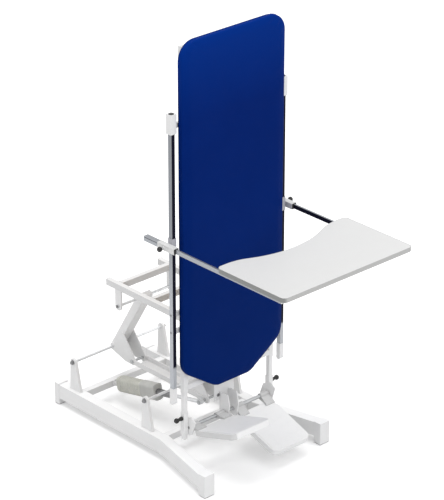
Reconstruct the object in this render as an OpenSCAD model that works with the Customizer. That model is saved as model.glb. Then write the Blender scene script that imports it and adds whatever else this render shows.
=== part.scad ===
// Physiotherapy tilt table: an upholstered couch that tilts from flat to upright on a
// parallel lift, with an arm tray, side rails and two hinged footplates.
// Millimetres, +Z up, couch upright and facing -Y, origin on the floor at the centre
// of the object's footprint.

/* [Pad] */
// Width of the pad
pad_w = 700; // [680:5:720]
// Length of the pad
pad_l = 1982; // [1950:2:2010]
// Height of the pad's foot end above the floor
pad_z = 440; // [430:1:450]
// Half width of the pad's foot end
pad_foot_half = 122; // [110:1:140]
// Height of the slanting corners at the foot end
pad_slant_h = 155; // [140:1:170]
// Radius of the pad's corners
pad_corner_r = 100; // [60:5:110]
// Thickness of the cushion
cushion_t = 36; // [32:1:38]
// Thickness of the board under the cushion
board_t = 8; // [6:1:10]
// How far the board stays inside the cushion's outline
board_inset = 2; // [2:1:8]
// Fall of the cushion's front face from its middle to its rim
crown_h = 6; // [6:1:16]
// Width of the rim over which the front face falls
crown_w = 70; // [60:5:120]
// How far the cushion's sides are drawn in at the board
side_draw = 2; // [2:1:8]

/* [Couch frame] */
// From the pad's edge in to the middle of each long tube
frame_inset = 43; // [38:1:46]
// Outer size of the square frame tube
frame_tube = 30; // [30:1:30]
// Wall of the frame tube
frame_wall = 2.4; // [2.4:0.1:2.4]
// Height of the foot end of the frame
frame_z0 = 450; // [445:1:460]
// Height of the head end of the frame
frame_z1 = 2390; // [2380:1:2400]
// Spacing of the cross tubes above the hinge
cross_pitch = 395; // [380:1:395]
// Height of the lower ends of the legs
leg_z0 = 172; // [165:1:180]
// How far a leg goes up inside the frame tube
leg_insert = 40; // [30:1:60]
// Height of the plug in a leg's lower end
leg_plug_h = 6; // [4:1:10]

/* [Side rails] */
// From the pad's edge out to the middle of each side rail
rail_clear = 34; // [32:1:38]
// Distance of the rail's centre behind the pad's face
rail_side_y = 57; // [52:1:60]
// Width of the rail, across the couch
rail_side_w = 24; // [24:1:24]
// Depth of the rail, front to back
rail_side_d = 28; // [28:1:28]
// Wall of the rail
rail_side_wall = 2; // [1.5:0.1:3]
// Width of the dark channel in the rail's front face
rail_slot_w = 20; // [14:1:20]
// Depth of that channel
rail_slot_t = 1; // [0.5:0.1:1.2]
// Height of the rail's lower end
rail_side_z0 = 505; // [495:1:515]
// Height of the rail's upper end
rail_side_z1 = 1944; // [1930:1:1955]
// Outer size of the upper sleeve
top_sleeve_w = 40; // [38:1:42]
// Height of the upper sleeve
top_sleeve_h = 105; // [95:1:115]
// Diameter of the accessory socket in the upper sleeve
socket_d = 28; // [25:0.5:30]
// Depth of the accessory socket
socket_depth = 90; // [60:1:90]
// Outer size of the lower sleeve
low_sleeve_w = 29; // [29:1:32]
// Height of the lower sleeve
low_sleeve_h = 95; // [85:1:105]
// Height of the lowest bracket between frame and rail
bracket_z = 830; // [820:1:840]
// Spacing of the two lower brackets
bracket_pitch = 100; // [80:1:105]
// Height of a rail bracket
bracket_h = 24; // [18:1:28]
// Depth of a rail bracket
bracket_d = 16; // [12:1:16]

/* [Base] */
// From the long tube out to the outer face of each base rail
base_set = 45; // [40:1:53]
// Width of a base rail
base_rail_w = 62; // [58:1:64]
// Height of a base rail
base_rail_h = 84; // [80:1:88]
// Height of a base rail's underside
base_rail_z = 40; // [36:1:44]
// Wall of a base rail
base_wall = 3; // [2:0.5:4]
// From the rear shaft back to the rear end of the rails
base_rear_set = 97; // [92:1:102]
// Distance of the bend behind the pad's face
base_bend_y = 205; // [195:1:210]
// Distance of the front ends in front of the pad's face
base_front_y = 212; // [205:1:220]
// Angle by which the front of each rail splays outward
base_splay = 13.4; // [12:0.1:15]
// Length of a front foot
front_foot_l = 50; // [45:1:55]
// Length of a rear foot
rear_foot_l = 38; // [34:1:42]
// Height of the feet
foot_h = 130; // [128:1:134]
// How far a foot stands out past the rail's sides
foot_margin = 3; // [1:1:5]
// Thickness of the rubber pads under the feet
foot_pad_t = 4; // [3:1:6]
// Size of the base's square cross tubes
base_tube = 40; // [36:1:40]
// Height of the centres of the base's cross tubes
base_tube_z = 102; // [98:1:104]
// From the rear shaft forward to the rear cross tube
rear_tube_set = 42; // [38:1:44]
// From the front shaft forward to the front cross tube
front_tube_set = 120; // [112:1:124]

/* [Lift linkage] */
// Distance of the rear shaft behind the pad's face
rear_shaft_y = 950; // [948:1:952]
// Spacing of the two shafts, and of every pair of pivots
link_pitch = 598; // [596:1:600]
// Height of the shafts
shaft_z = 292; // [290:1:294]
// Diameter of the shafts
shaft_d = 14; // [14:1:14]
// Thickness of a shaft tower
tower_t = 16; // [12:1:20]
// From a base rail's outer face in to each tower's centre
tower_set = 32; // [30:1:34]
// Radius of a tower's top
tower_r = 22; // [20:1:24]
// Length of a shaft nut
nut_l = 9; // [6:1:10]
// Size of a shaft nut across its corners
nut_d = 26; // [24:1:28]
// Distance from the shaft forward to the arm's top pivot
arm_dy = 228; // [226:1:230]
// Height of the arm's top pivot above the shaft
arm_dz = 380; // [378:1:382]
// Width of the arm's box tube
arm_w = 68; // [64:1:70]
// Depth of the arm's box tube
arm_d = 48; // [46:1:50]
// Wall of the arm's box tube
arm_wall = 3; // [2:0.5:4]
// Outer diameter of the arm's hubs
hub_d = 44; // [40:1:44]
// Half length of an arm's upper hub
top_hub_half = 39; // [38:1:40]
// Distance from the shaft forward to the lever pin
lever_dy = 168; // [166:1:168]
// Drop from the shaft to the lever pin
lever_dz = 30; // [29:1:31]
// Thickness of a lever plate
lever_t = 6; // [5:1:6]
// Radius of a lever plate at its pin
lever_r = 24; // [22:1:24]
// Radius of a lever plate's other corners
lever_tip_r = 10; // [8:1:12]
// Distance from the shaft up the arm to a lever plate's top corner
lever_rise = 132; // [120:1:140]
// Distance of a lever plate's low corner behind its pin
lever_heel_y = 64; // [60:1:68]
// Drop of that corner below the pin
lever_heel_z = 12; // [10:1:14]
// Diameter of the lever pins
lever_pin_d = 14; // [14:1:14]
// Height of the coupler's side walls
coupler_h = 30; // [26:1:30]
// Thickness of the coupler's walls
coupler_t = 5; // [4:1:5]
// Height of the coupler's web
coupler_web_h = 4; // [3:1:5]

/* [Upper frame] */
// Distance from the middle to the outer face of each side tube
upper_x = 200; // [198:1:204]
// Width of a side tube
upper_tube_w = 30; // [28:1:32]
// Height of a side tube
upper_tube_h = 38; // [36:1:38]
// Height of the side tubes' underside
upper_z = 774; // [772:1:776]
// Distance of the side tubes' front ends behind the pad's face
upper_front_y = 130; // [129:1:132]
// From the rear top pivot back to the rear end of the upper frame
upper_rear_set = 81; // [73:1:90]
// Wall of the upper frame's tubes
upper_wall = 2.5; // [2:0.5:3]
// Height of the front cross tube
upper_front_h = 24; // [22:1:24]
// From the rear top pivot forward to the middle cross tube
upper_mid_set = 262; // [257:1:267]
// Diameter of the top pivot shafts
pivot_d = 16; // [16:1:16]
// Thickness of the pivot plates
pivot_plate_t = 8; // [6:1:8]
// Radius of the pivot plates' lower ends
pivot_plate_r = 25; // [22:1:25]
// Diameter of the heads at the ends of the pivot shafts
pivot_head_d = 24; // [22:1:26]
// Thickness of those heads
pivot_head_t = 6; // [4:1:8]

/* [Couch hinge] */
// Distance of the hinge axis behind the pad's face
hinge_y = 112; // [112:1:112]
// Radius of the hinge lugs
lug_r = 15; // [14:1:15]
// Width of a hinge lug
lug_w = 26; // [24:1:27]
// Diameter of the hinge pins
hinge_pin_d = 12; // [12:1:12]
// Thickness of the hinge brackets
hinge_plate_t = 6; // [5:1:8]
// Distance from the middle to the tilt actuator
tilt_x = 120; // [118:1:122]
// Distance of the tilt lever's pivot behind the hinge axis
tilt_lever_dy = 10; // [9:1:11]
// Drop from the hinge axis to the tilt lever's pivot
tilt_lever_dz = 50; // [49:1:51]

/* [Actuators] */
// Distance from the middle to the lift actuator, on the left
lift_x = 80; // [80:1:82]
// From the rear shaft forward to the lift actuator's rear pin
lift_pin_set = 86; // [84:1:88]
// Height of the lift actuator's rear pin
lift_pin_z = 112; // [110:1:113]
// Diameter of the actuators' rear pins
act_pin_d = 10; // [10:1:10]
// Radius of the actuators' end eyes
act_eye_r = 15; // [14:1:15]
// Width of the actuators' end eyes
act_eye_w = 24; // [20:1:24]
// Thickness of a clevis plate
clevis_t = 6; // [5:1:6]
// Width of the lift motor's cover
motor_w = 66; // [62:1:68]
// Height of the lift motor's cover
motor_h = 88; // [84:1:92]
// Wall of the motor covers
motor_wall = 2.5; // [2:0.5:3]
// Start of the lift motor's cover along the actuator
motor_s0 = 26; // [24:1:28]
// End of the lift motor's cover along the actuator
motor_s1 = 226; // [220:1:230]
// Number of cooling ribs on the lift motor's cover
motor_ribs = 9; // [7:1:11]
// Depth of those ribs
motor_rib_h = 2; // [1:0.5:2]
// End of the lift actuator's gear case
gear_s1 = 345; // [340:1:350]
// Width of the gear case
gear_w = 62; // [58:1:64]
// Height of the gear case
gear_h = 96; // [90:1:100]
// End of the lift actuator's outer tube
outer_s1 = 482; // [470:1:490]
// Outer diameter of the actuators' outer tubes
outer_d = 38; // [36:1:40]
// Diameter of the lift actuator's rod
lift_rod_d = 22; // [20:1:22]
// Diameter of the actuator's screw spindle
spindle_d = 12; // [10:1:12]
// From the middle cross tube back to the tilt actuator's rear pin
tilt_pin_set = 6; // [4:1:8]
// Height of the tilt actuator's rear pin
tilt_pin_z = 738; // [736:1:740]
// Size of the tilt actuator's motor case
tilt_case = 58; // [54:1:58]
// Length of the tilt actuator's motor case
tilt_case_l = 92; // [88:1:96]
// End of the tilt actuator's outer tube
tilt_outer_s1 = 236; // [230:1:240]
// Outer diameter of the tilt actuator's outer tube
tilt_outer_d = 34; // [32:1:34]
// Diameter of the tilt actuator's rod
tilt_rod_d = 18; // [16:1:18]

/* [Tray] */
// How far the tray runs out past the middle of each bar
tray_overhang = 37; // [25:1:41]
// Distance of the tray's back edge in front of the pad's face
tray_back = 349; // [345:1:365]
// Distance of the tray's front edge in front of the pad's face
tray_front = 838; // [825:1:860]
// Height of the tray's top face
tray_top = 1366; // [1355:1:1370]
// Thickness of the tray
tray_t = 24; // [22:1:26]
// Radius of the tray's corners
tray_corner_r = 28; // [20:1:34]
// Half width of the body cut-out
cutout_half = 310; // [280:1:320]
// Depth of the body cut-out
cutout_depth = 88; // [60:1:92]
// Thickness of the tray's edge band
band_t = 2; // [1:0.5:3]
// From the side rail out to the middle of the tray bar
bar_set = 31; // [31:1:31]
// Width of a tray bar
bar_w = 10; // [10:1:20]
// Height of a tray bar
bar_h = 24; // [16:1:24]
// Height of the channel in a tray bar's inner face
bar_slot_h = 18; // [8:1:18]
// Distance of a tray bar's front end in front of the pad's face
bar_front = 784; // [770:1:820]
// Distance of a tray bar's rear end behind the pad's face
bar_rear = 215; // [205:1:220]
// Gap between the tray bars and the tray
tray_gap = 6; // [4:1:16]
// Diameter of the spacers under the tray
spacer_d = 18; // [16:1:20]

/* [Tray carriage] */
// Height of a slider on its rail
slider_h = 76; // [70:1:80]
// Width of a slider
slider_w = 30; // [30:1:30]
// Depth of a slider
slider_d = 34; // [34:1:34]
// Distance of a bar sleeve's front end in front of the pad's face
sleeve_front = 7; // [5:1:10]
// Distance of a bar sleeve's rear end behind the pad's face
sleeve_rear = 119; // [115:1:125]
// Width of a bar sleeve
sleeve_w = 32; // [32:1:32]
// Height of a bar sleeve
sleeve_h = 34; // [34:1:34]
// Outer size of the guide tube in a bar sleeve
guide_w = 28; // [28:1:28]
// Distance of a guide tube's rear end behind the pad's face
guide_rear = 225; // [222:1:230]
// Length of the bush at a bar sleeve's front end
bush_l = 10; // [8:1:12]
// Distance of the tray clamp knobs behind the pad's face
tray_knob_y = 68; // [64:1:72]

/* [Knobs] */
// Diameter of a clamp knob's ball
knob_d = 29; // [27:1:30]
// Diameter of a clamp knob's screw
knob_screw_d = 8; // [8:1:8]
// Diameter of the boss that takes the screw
knob_boss_d = 16; // [14:1:18]
// Length of that boss
knob_boss_l = 8; // [6:1:8]
// Distance from the boss to a tray knob's centre
tray_knob_reach = 21; // [20:1:24]
// Distance from the boss to a foot knob's centre
foot_knob_reach = 32; // [28:1:34]

/* [Foot carriage] */
// Outer size of a foot sleeve
foot_sleeve_w = 31; // [31:1:31]
// Height of a foot sleeve's lower end
foot_sleeve_z0 = 205; // [200:1:210]
// Height of a foot sleeve's upper end
foot_sleeve_z1 = 335; // [325:1:345]
// Height of the foot clamp knobs
foot_knob_z = 300; // [295:1:305]
// Distance of the footplate axis behind the pad's face
foot_axis_y = 45; // [44:1:46]
// Height of the footplate axis
foot_axis_z = 240; // [238:1:242]
// Outer diameter of the tube on the footplate axis
foot_tube_d = 20; // [20:1:20]
// Wall of the tube on the footplate axis
foot_tube_wall = 2.5; // [2:0.5:3]
// Thickness of the cheek plates
cheek_t = 6; // [5:1:6]
// Distance from the middle to each inner cheek plate
inner_cheek_x = 32; // [31:1:33]
// Half width of the hanger plate
hanger_half = 70; // [60:1:80]
// Height of the hanger plate's upper edge
hanger_z1 = 500; // [490:1:510]
// Height of the hanger plate's lower edge
hanger_z0 = 300; // [290:1:305]
// Thickness of the hanger plate
hanger_t = 5; // [4:1:5]
// Distance of the hanger plate behind the pad's face
hanger_y = 83; // [83:1:84]

/* [Footplates] */
// Distance from the middle to a footplate's inner edge
plate_x0 = 22; // [20:1:24]
// From the long tube's middle in to a footplate's outer edge
plate_side_gap = 18; // [15:1:22]
// Distance from the axis to a footplate's rear edge
plate_rear = 40; // [38:1:44]
// Distance from the axis to the front of its narrow neck
plate_neck = 76; // [74:1:80]
// Distance from the axis to a footplate's front edge
plate_front = 360; // [350:1:366]
// Drop from the axis to a footplate's top face
plate_drop = 17; // [16:1:18]
// Thickness of a footplate
plate_t = 32; // [28:1:34]
// Radius of a footplate's front corners
plate_corner_r = 36; // [20:1:50]
// Outer diameter of a footplate's hinge barrel
barrel_d = 30; // [28:1:30]
// Length of a footplate's hinge barrel
barrel_l = 60; // [50:1:66]
// Toes-up angle of the left footplate
left_toes_up = 18; // [17:1:19]
// Toes-down angle of the right footplate
right_toes_down = 19; // [18:1:20]

/* [Fits] */
// Running clearance round a pin or shaft, on the radius
run_gap = 0.05; // [0.02:0.01:0.1]
// Clearance each side of a sliding tube
slide_gap = 0.1; // [0.05:0.01:0.15]
// Clearance between neighbouring moving faces
side_gap = 0.4; // [0.3:0.05:0.5]
// Clearance round a pin whose pivot is left open, on the radius
open_gap = 0.95; // [0.9:0.01:1]

/* [Small parts] */
// Corner radius of tubes and blocks
tube_r = 3; // [3:0.5:3.5]
// Reach of a tower's foot in front of its shaft
tower_foot_front = 58; // [50:1:64]
// Reach of a tower's foot behind its shaft
tower_foot_rear = 30; // [24:1:34]
// Distance of the front cross tube behind the side tubes' front ends
upper_front_set = 3; // [2:1:6]
// Radius of the front pivot plates' lower ends
front_plate_r = 22; // [20:1:24]
// Reach of a hinge bracket along its side tube
hinge_plate_l = 78; // [60:1:90]
// Start of the coupler's web behind the front lever pin
web_front = 145; // [140:1:160]
// End of the coupler's web in front of the rear lever pin
web_rear = 28; // [26:1:40]
// Radius of a clevis plate
clevis_r = 14; // [13:1:14]
// Diameter of a small pin's head
pin_head_d = 16; // [14:1:18]
// Thickness of a small pin's head
pin_head_t = 4; // [3:1:5]
// Height of the neck between an actuator and its eye
neck_h = 22; // [20:1:24]
// Corner radius of the motor covers
motor_r = 22; // [14:1:24]
// Share of a rib pitch that the rib takes
rib_share = 0.5; // [0.4:0.05:0.5]
// Diameter of the lift motor
motor_core_d = 54; // [50:1:54]
// Length of the lift motor
motor_core_l = 150; // [140:1:160]
// Depth to which the spindle sits in the gear case
spindle_seat = 30; // [20:1:40]
// Length of the spindle
spindle_l = 255; // [250:1:260]
// Distance from a gear case to the rod's inner end
rod_start = 42; // [40:1:46]
// From the tilt clevis to the motor case, room for the swing
tilt_neck = 6; // [5:0.5:8]
// Radius of the tilt rod's eye
tilt_eye_r = 13; // [12:1:13]
// Height of a slider's top above the tray's top face
slider_top_gap = 2; // [0:1:6]
// How far a bush stands out of its sleeve
bush_out = 3; // [2:1:5]
// Radius by which the back edge rolls into the body cut-out
cutout_corner_r = 300; // [60:10:300]
// Number of straight runs in the body cut-out
cutout_steps = 20; // [16:2:24]
// Clearance between a footplate's neck and the cheeks
neck_gap = 2; // [1.5:0.5:3]
// Reach of a cheek plate in front of the footplate axis
cheek_front = 54; // [50:1:56]
// Height of that front corner above the axis
cheek_nose = 45; // [40:1:48]
// Distance of a cheek's top corner in front of the axis
cheek_top_y = 21; // [18:1:24]
// Height of an outer cheek's top corner above the axis
cheek_top = 70; // [66:1:74]
// Distance of an outer cheek's rear shoulder behind the axis
cheek_shoulder_y = 39; // [36:1:42]
// Height of that shoulder above the axis
cheek_shoulder = 41; // [38:1:44]
// Distance of an outer cheek's rear corner behind the axis
cheek_rear = 63; // [58:1:64]
// Drop of a cheek's rear corner below the axis
cheek_rear_drop = 24; // [20:1:28]
// Distance of a cheek's lowest corner in front of the axis
cheek_low_y = 4; // [2:1:6]
// Drop of a cheek's lowest corner
cheek_low = 44; // [42:1:46]
// Distance of a cheek's chin in front of the axis
cheek_chin_y = 28; // [26:1:30]
// Drop of a cheek's chin
cheek_chin = 35; // [33:1:37]
// Reach of an inner cheek plate in front of the footplate axis
inner_cheek_front = 41; // [38:1:44]
// Distance of an inner cheek's top corner in front of the axis
inner_cheek_top_y = 27; // [24:1:30]
// Height of an inner cheek's top corner above the axis
inner_cheek_top = 110; // [104:1:114]
// Height of an inner cheek's rear corner above the axis
inner_cheek_rear = 106; // [100:1:110]
// Reach of a footplate's hinge arm in front of the axis
hinge_arm_l = 66; // [60:1:70]
// Height of a hinge arm's tip
hinge_arm_tip = 6; // [5:1:8]
// Height of a hinge arm beside its barrel, above the axis
hinge_arm_top = 4; // [2:1:6]

/* [Hidden] */
// Facets of round pieces
round_fn = 48;
// Overrun of a cut past the surface that it opens
cut = 1;
// Steps of a rounded corner
corner_steps = 8;
// Steps of the cushion's front curve
crown_steps = 6;
// Steps of the cushion's drawn-in side
side_steps = 3;

base_rear_y = rear_shaft_y + base_rear_set;
base_rear_tube_y = rear_shaft_y - rear_tube_set;
base_front_tube_y = rear_shaft_y - link_pitch - front_tube_set;
upper_rear_y = rear_shaft_y - arm_dy + upper_rear_set;
upper_mid_y = rear_shaft_y - arm_dy - upper_mid_set;
lift_pin_y = rear_shaft_y - lift_pin_set;
tilt_pin_y = upper_mid_y + tilt_pin_set;

home_y = (tray_front - base_rear_y - rear_foot_l) / 2;

frame_x = pad_w / 2 - frame_inset;
rail_side_x = pad_w / 2 + rail_clear;
bar_x = rail_side_x + bar_set;
tray_half = bar_x + tray_overhang;
base_x = frame_x + base_set;
tower_x = base_x - tower_set;
plate_x1 = frame_x - plate_side_gap;

pad_back = cushion_t + board_t;
frame_y = pad_back + frame_tube / 2;
frame_back = pad_back + frame_tube;
leg_w = frame_tube - 2 * frame_wall - 2 * slide_gap;
frame_in = frame_x - frame_tube / 2;
frame_out = frame_x + frame_tube / 2;

base_top = base_rail_z + base_rail_h;
rear_shaft = [rear_shaft_y, shaft_z];
front_shaft = rear_shaft - [link_pitch, 0];
rear_top = rear_shaft + [-arm_dy, arm_dz];
front_top = rear_top - [link_pitch, 0];
rear_pin = rear_shaft - [lever_dy, lever_dz];
front_pin = rear_pin - [link_pitch, 0];
lever_x = arm_w / 2 + lever_t;
coupler_x0 = lever_x + side_gap;
coupler_x1 = coupler_x0 + coupler_t;
shaft_half = tower_x + tower_t / 2 + nut_l;

upper_in = upper_x - upper_tube_w;
upper_top = upper_z + upper_tube_h;
hinge_z = upper_z + upper_tube_h / 2;
hinge_x = upper_x - upper_tube_w / 2;
upper_mid_z = hinge_z;
upper_front_tube_y = upper_front_y + upper_tube_w / 2 + upper_front_set;
upper_front_tube_z = upper_top - upper_front_h / 2;
pivot_plate_x = hinge_x - pivot_plate_t / 2;
front_plate_x = top_hub_half + side_gap;

lift_rear = [lift_pin_y, lift_pin_z];
lift_l = norm(front_pin - lift_rear);
tilt_rear = [tilt_pin_y, tilt_pin_z];
tilt_front = [hinge_y + tilt_lever_dy, hinge_z - tilt_lever_dz];
tilt_l = norm(tilt_front - tilt_rear);
clevis_in = act_eye_w / 2 + side_gap;
clevis_out = clevis_in + clevis_t;

tray_low = tray_top - tray_t;
bar_z = tray_low - tray_gap - bar_h / 2;
sleeve_out = bar_x + sleeve_w / 2;
cutout_r = (cutout_half ^ 2 + cutout_depth ^ 2) / (2 * cutout_depth);
cutout_y = cutout_r - cutout_depth - tray_back;
roll_y = cutout_y + tray_back + cutout_corner_r;
roll_x = sqrt((cutout_r + cutout_corner_r) ^ 2 - roll_y ^ 2);
roll_a = atan2(roll_x, roll_y);
roll_steps = cutout_steps / 2;
function roll_point(i) = let (t = roll_a * i / roll_steps)
    [roll_x - cutout_corner_r * sin(t), cutout_corner_r * (cos(t) - 1) - tray_back];
tray_pts = concat(
    [[-tray_half, -tray_front], [tray_half, -tray_front], [tray_half, -tray_back]],
    [for (i = [0 : roll_steps]) roll_point(i)],
    [for (i = [1 : cutout_steps - 1]) let (t = roll_a * (1 - 2 * i / cutout_steps))
        [cutout_r * sin(t), cutout_y - cutout_r * cos(t)]],
    [for (i = [roll_steps : -1 : 0]) let (p = roll_point(i)) [-p[0], p[1]]],
    [[-tray_half, -tray_back]]);
tray_radii = concat([tray_corner_r, tray_corner_r, tray_corner_r],
    [for (i = [1 : 2 * (roll_steps + 1) + cutout_steps - 1]) 0], [tray_corner_r]);

foot_out = frame_x + foot_sleeve_w / 2;
foot_in = frame_x - foot_sleeve_w / 2;
neck_x0 = inner_cheek_x + cheek_t / 2 + neck_gap;
neck_x1 = foot_in - cheek_t - neck_gap;

pad_pts = let (w = pad_w / 2, z1 = pad_z + pad_slant_h, z2 = pad_z + pad_l)
    [[-pad_foot_half, pad_z], [pad_foot_half, pad_z], [w, z1], [w, z2], [-w, z2], [-w, z1]];

// Outlines: each point carries the outward direction that an inset follows

function unit(v) = v / norm(v);

function turn(a, b, c) = cross(b - a, c - b) < 0 ? -1 : 1;

function sharp_corner(a, b, c) =
    let (u = unit(a - b), v = unit(c - b), m = unit(u + v), s = sin(acos(u * v) / 2),
        n = -turn(a, b, c) * m / s)
    [[b[0], b[1], n[0], n[1]]];

function round_corner(a, b, c, r) =
    let (u = unit(a - b), v = unit(c - b), h = acos(u * v) / 2, s = turn(a, b, c),
        o = b + unit(u + v) * r / sin(h), p = b + u * r / tan(h) - o,
        sweep = s * (180 - 2 * h), a0 = atan2(p[1], p[0]))
    [for (i = [0 : corner_steps]) let (t = a0 + sweep * i / corner_steps,
        d = [cos(t), sin(t)]) [o[0] + r * d[0], o[1] + r * d[1], s * d[0], s * d[1]]];

function outline(pts, radii) = [for (i = [0 : len(pts) - 1])
    let (a = pts[(i + len(pts) - 1) % len(pts)], b = pts[i], c = pts[(i + 1) % len(pts)])
    each (radii[i] > 0 ? round_corner(a, b, c, radii[i]) : sharp_corner(a, b, c))];

function inset(o, t) = [for (p = o) [p[0] - t * p[2], p[1] - t * p[3]]];

// Plan of the right base rail between two depths measured in from its outer face
function rail_edge(t, end_y) =
    let (bend = base_bend_y - t * tan(base_splay / 2))
    [[base_x - t, base_rear_y], [base_x - t, bend],
        [base_x - t + (bend - end_y) * tan(base_splay), end_y]];

function reversed(list) = [for (i = [len(list) - 1 : -1 : 0]) list[i]];

function rail_plan(t0, t1) =
    concat(rail_edge(t0, -base_front_y), reversed(rail_edge(t1, -base_front_y)));

// Shared shapes

module at_home() translate([0, home_y, 0]) children();

module both_sides() {
    children();
    mirror([1, 0, 0]) children();
}

module box(x0, x1, y0, y1, z0, z1)
    translate([x0, y0, z0]) cube([x1 - x0, y1 - y0, z1 - z0]);

module rod_x(x0, x1, at, d)
    translate([x0, at[0], at[1]]) rotate([0, 90, 0]) cylinder(h = x1 - x0, d = d, $fn = round_fn);

module rod_z(l, d) cylinder(h = l, d = d, $fn = round_fn);

module slab_x(x0, x1, pts)
    translate([x0, 0, 0]) rotate([90, 0, 90]) linear_extrude(x1 - x0) polygon(pts);

module link_plate(x0, x1, p, q, rp, rq) {
    u = unit(q - p);
    n = [-u[1], u[0]];
    b = acos((rp - rq) / norm(q - p));
    e = u * cos(b);
    s = n * sin(b);
    slab_x(x0, x1, [p + rp * (e + s), p + rp * (e - s), q + rq * (e - s), q + rq * (e + s)]);
    rod_x(x0, x1, p, 2 * rp);
    rod_x(x0, x1, q, 2 * rq);
}

module soft_rect(w, h, r) {
    square([w - 2 * r, h], center = true);
    square([w, h - 2 * r], center = true);
    for (x = [-1, 1], y = [-1, 1])
        translate([x * (w / 2 - r), y * (h / 2 - r)]) circle(r, $fn = round_fn);
}

module bar(l, w, h, r) linear_extrude(l) soft_rect(w, h, r);

module tube(l, w, h, wall) {
    linear_extrude(l) difference() {
        soft_rect(w, h, tube_r);
        square([w - 2 * wall, h - 2 * wall], center = true);
    }
}

module tube_x(x0, x1, y, z, w, h, wall)
    translate([x0, y, z]) rotate([90, 0, 90]) tube(x1 - x0, w, h, wall);

module tube_y(y0, y1, x, z, w, h, wall)
    translate([x, y1, z]) rotate([90, 0, 0]) tube(y1 - y0, w, h, wall);

module tube_z(z0, z1, x, y, w, h, wall)
    translate([x, y, z0]) tube(z1 - z0, w, h, wall);

module along(p, q)
    translate([0, p[0], p[1]]) rotate([atan2(q[1] - p[1], q[0] - p[0]) - 90, 0, 0]) children();

// Base

module base_rails() {
    at_home() color([0.9, 0.9, 0.88]) both_sides() translate([0, 0, base_rail_z])
    difference() {
        linear_extrude(base_rail_h) polygon(rail_plan(0, base_rail_w));
        translate([0, 0, base_wall]) linear_extrude(base_rail_h - 2 * base_wall)
            polygon(rail_plan(base_wall, base_rail_w - base_wall));
    }
}

module base_cross_tubes() {
    half = base_x - base_rail_w;
    at_home() color([0.9, 0.9, 0.88])
    for (y = [base_rear_tube_y, base_front_tube_y])
        tube_x(-half, half, y, base_tube_z, base_tube, base_tube, base_wall);
}

module base_foot(x0, x1, y0, y1)
    translate([(x0 + x1) / 2, (y0 + y1) / 2, foot_pad_t])
    bar(foot_h - foot_pad_t, x1 - x0, y1 - y0, tube_r);

module base_feet() {
    out = rail_edge(0, -base_front_y)[2][0];
    in = rail_edge(base_rail_w, -base_front_y)[2][0];
    at_home() color([0.86, 0.86, 0.84]) both_sides() {
        base_foot(base_x - base_rail_w - foot_margin, base_x + foot_margin,
            base_rear_y, base_rear_y + rear_foot_l);
        base_foot(in - foot_margin, out + foot_margin,
            -base_front_y - front_foot_l, -base_front_y);
    }
}

module foot_pads() {
    out = rail_edge(0, -base_front_y)[2][0];
    in = rail_edge(base_rail_w, -base_front_y)[2][0];
    at_home() color([0.12, 0.12, 0.12]) both_sides() {
        box(base_x - base_rail_w, base_x, base_rear_y + foot_margin,
            base_rear_y + rear_foot_l - foot_margin, 0, foot_pad_t);
        box(in, out, -base_front_y - front_foot_l + foot_margin,
            -base_front_y - foot_margin, 0, foot_pad_t);
    }
}

module shaft_tower(at) {
    x0 = tower_x - tower_t / 2;
    x1 = tower_x + tower_t / 2;
    both_sides() difference() {
        union() {
            slab_x(x0, x1, [[at[0] - tower_foot_front, base_top],
                [at[0] + tower_foot_rear, base_top],
                [at[0] + tower_r, at[1]], [at[0] - tower_r, at[1]]]);
            rod_x(x0, x1, at, 2 * tower_r);
        }
        rod_x(x0 - cut, x1 + cut, at, shaft_d + 2 * run_gap);
    }
}

module shaft_towers() {
    at_home() color([0.9, 0.9, 0.88]) {
        shaft_tower(rear_shaft);
        shaft_tower(front_shaft);
    }
}

module link_shafts() {
    at_home() color([0.62, 0.62, 0.64])
    for (at = [rear_shaft, front_shaft])
        rod_x(-shaft_half, shaft_half, at, shaft_d);
}

module shaft_nuts() {
    at_home() color([0.15, 0.15, 0.16])
    for (at = [rear_shaft, front_shaft])
        both_sides() difference() {
            translate([shaft_half - nut_l, at[0], at[1]]) rotate([0, 90, 0])
                cylinder(h = nut_l, d = nut_d, $fn = 6);
            rod_x(shaft_half - nut_l - cut, shaft_half + cut, at, shaft_d);
        }
}

module clevis_pin(x, at) {
    rod_x(x - clevis_out, x + clevis_out, at, act_pin_d);
    rod_x(x - clevis_out - pin_head_t, x - clevis_out, at, pin_head_d);
    rod_x(x + clevis_out, x + clevis_out + pin_head_t, at, pin_head_d);
}

module lift_clevis() {
    face_y = base_rear_tube_y - base_tube / 2;
    at_home() color([0.8, 0.8, 0.78]) {
        for (x = [-lift_x - clevis_out, -lift_x + clevis_in])
            difference() {
                union() {
                    box(x, x + clevis_t, lift_pin_y, face_y,
                        lift_pin_z - clevis_r, base_tube_z + base_tube / 2);
                    rod_x(x, x + clevis_t, lift_rear, 2 * clevis_r);
                }
                rod_x(x - cut, x + clevis_t + cut, lift_rear, act_pin_d);
            }
        clevis_pin(-lift_x, lift_rear);
    }
}

// Lift arms

module arm_tube(shaft, top) {
    difference() {
        union() {
            along(shaft, top) tube(norm(top - shaft), arm_w, arm_d, arm_wall);
            rod_x(-top_hub_half, top_hub_half, top, hub_d);
        }
        rod_x(-arm_w, arm_w, shaft, hub_d);
        rod_x(-arm_w, arm_w, top, pivot_d + 2 * run_gap);
    }
}

module lever_plate(x0, x1, shaft, top, pin) {
    u = unit(top - shaft);
    neck = shaft + lever_rise * u + (arm_d / 2 - lever_tip_r) * [-u[1], u[0]];
    heel = pin + [lever_heel_y, -lever_heel_z];
    link_plate(x0, x1, pin, neck, lever_r, lever_tip_r);
    link_plate(x0, x1, pin, heel, lever_r, lever_tip_r);
    link_plate(x0, x1, shaft, heel, hub_d / 2, lever_tip_r);
    slab_x(x0, x1, [pin, heel, shaft, neck]);
    rod_x(x0, x1, shaft, hub_d);
}

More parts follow.
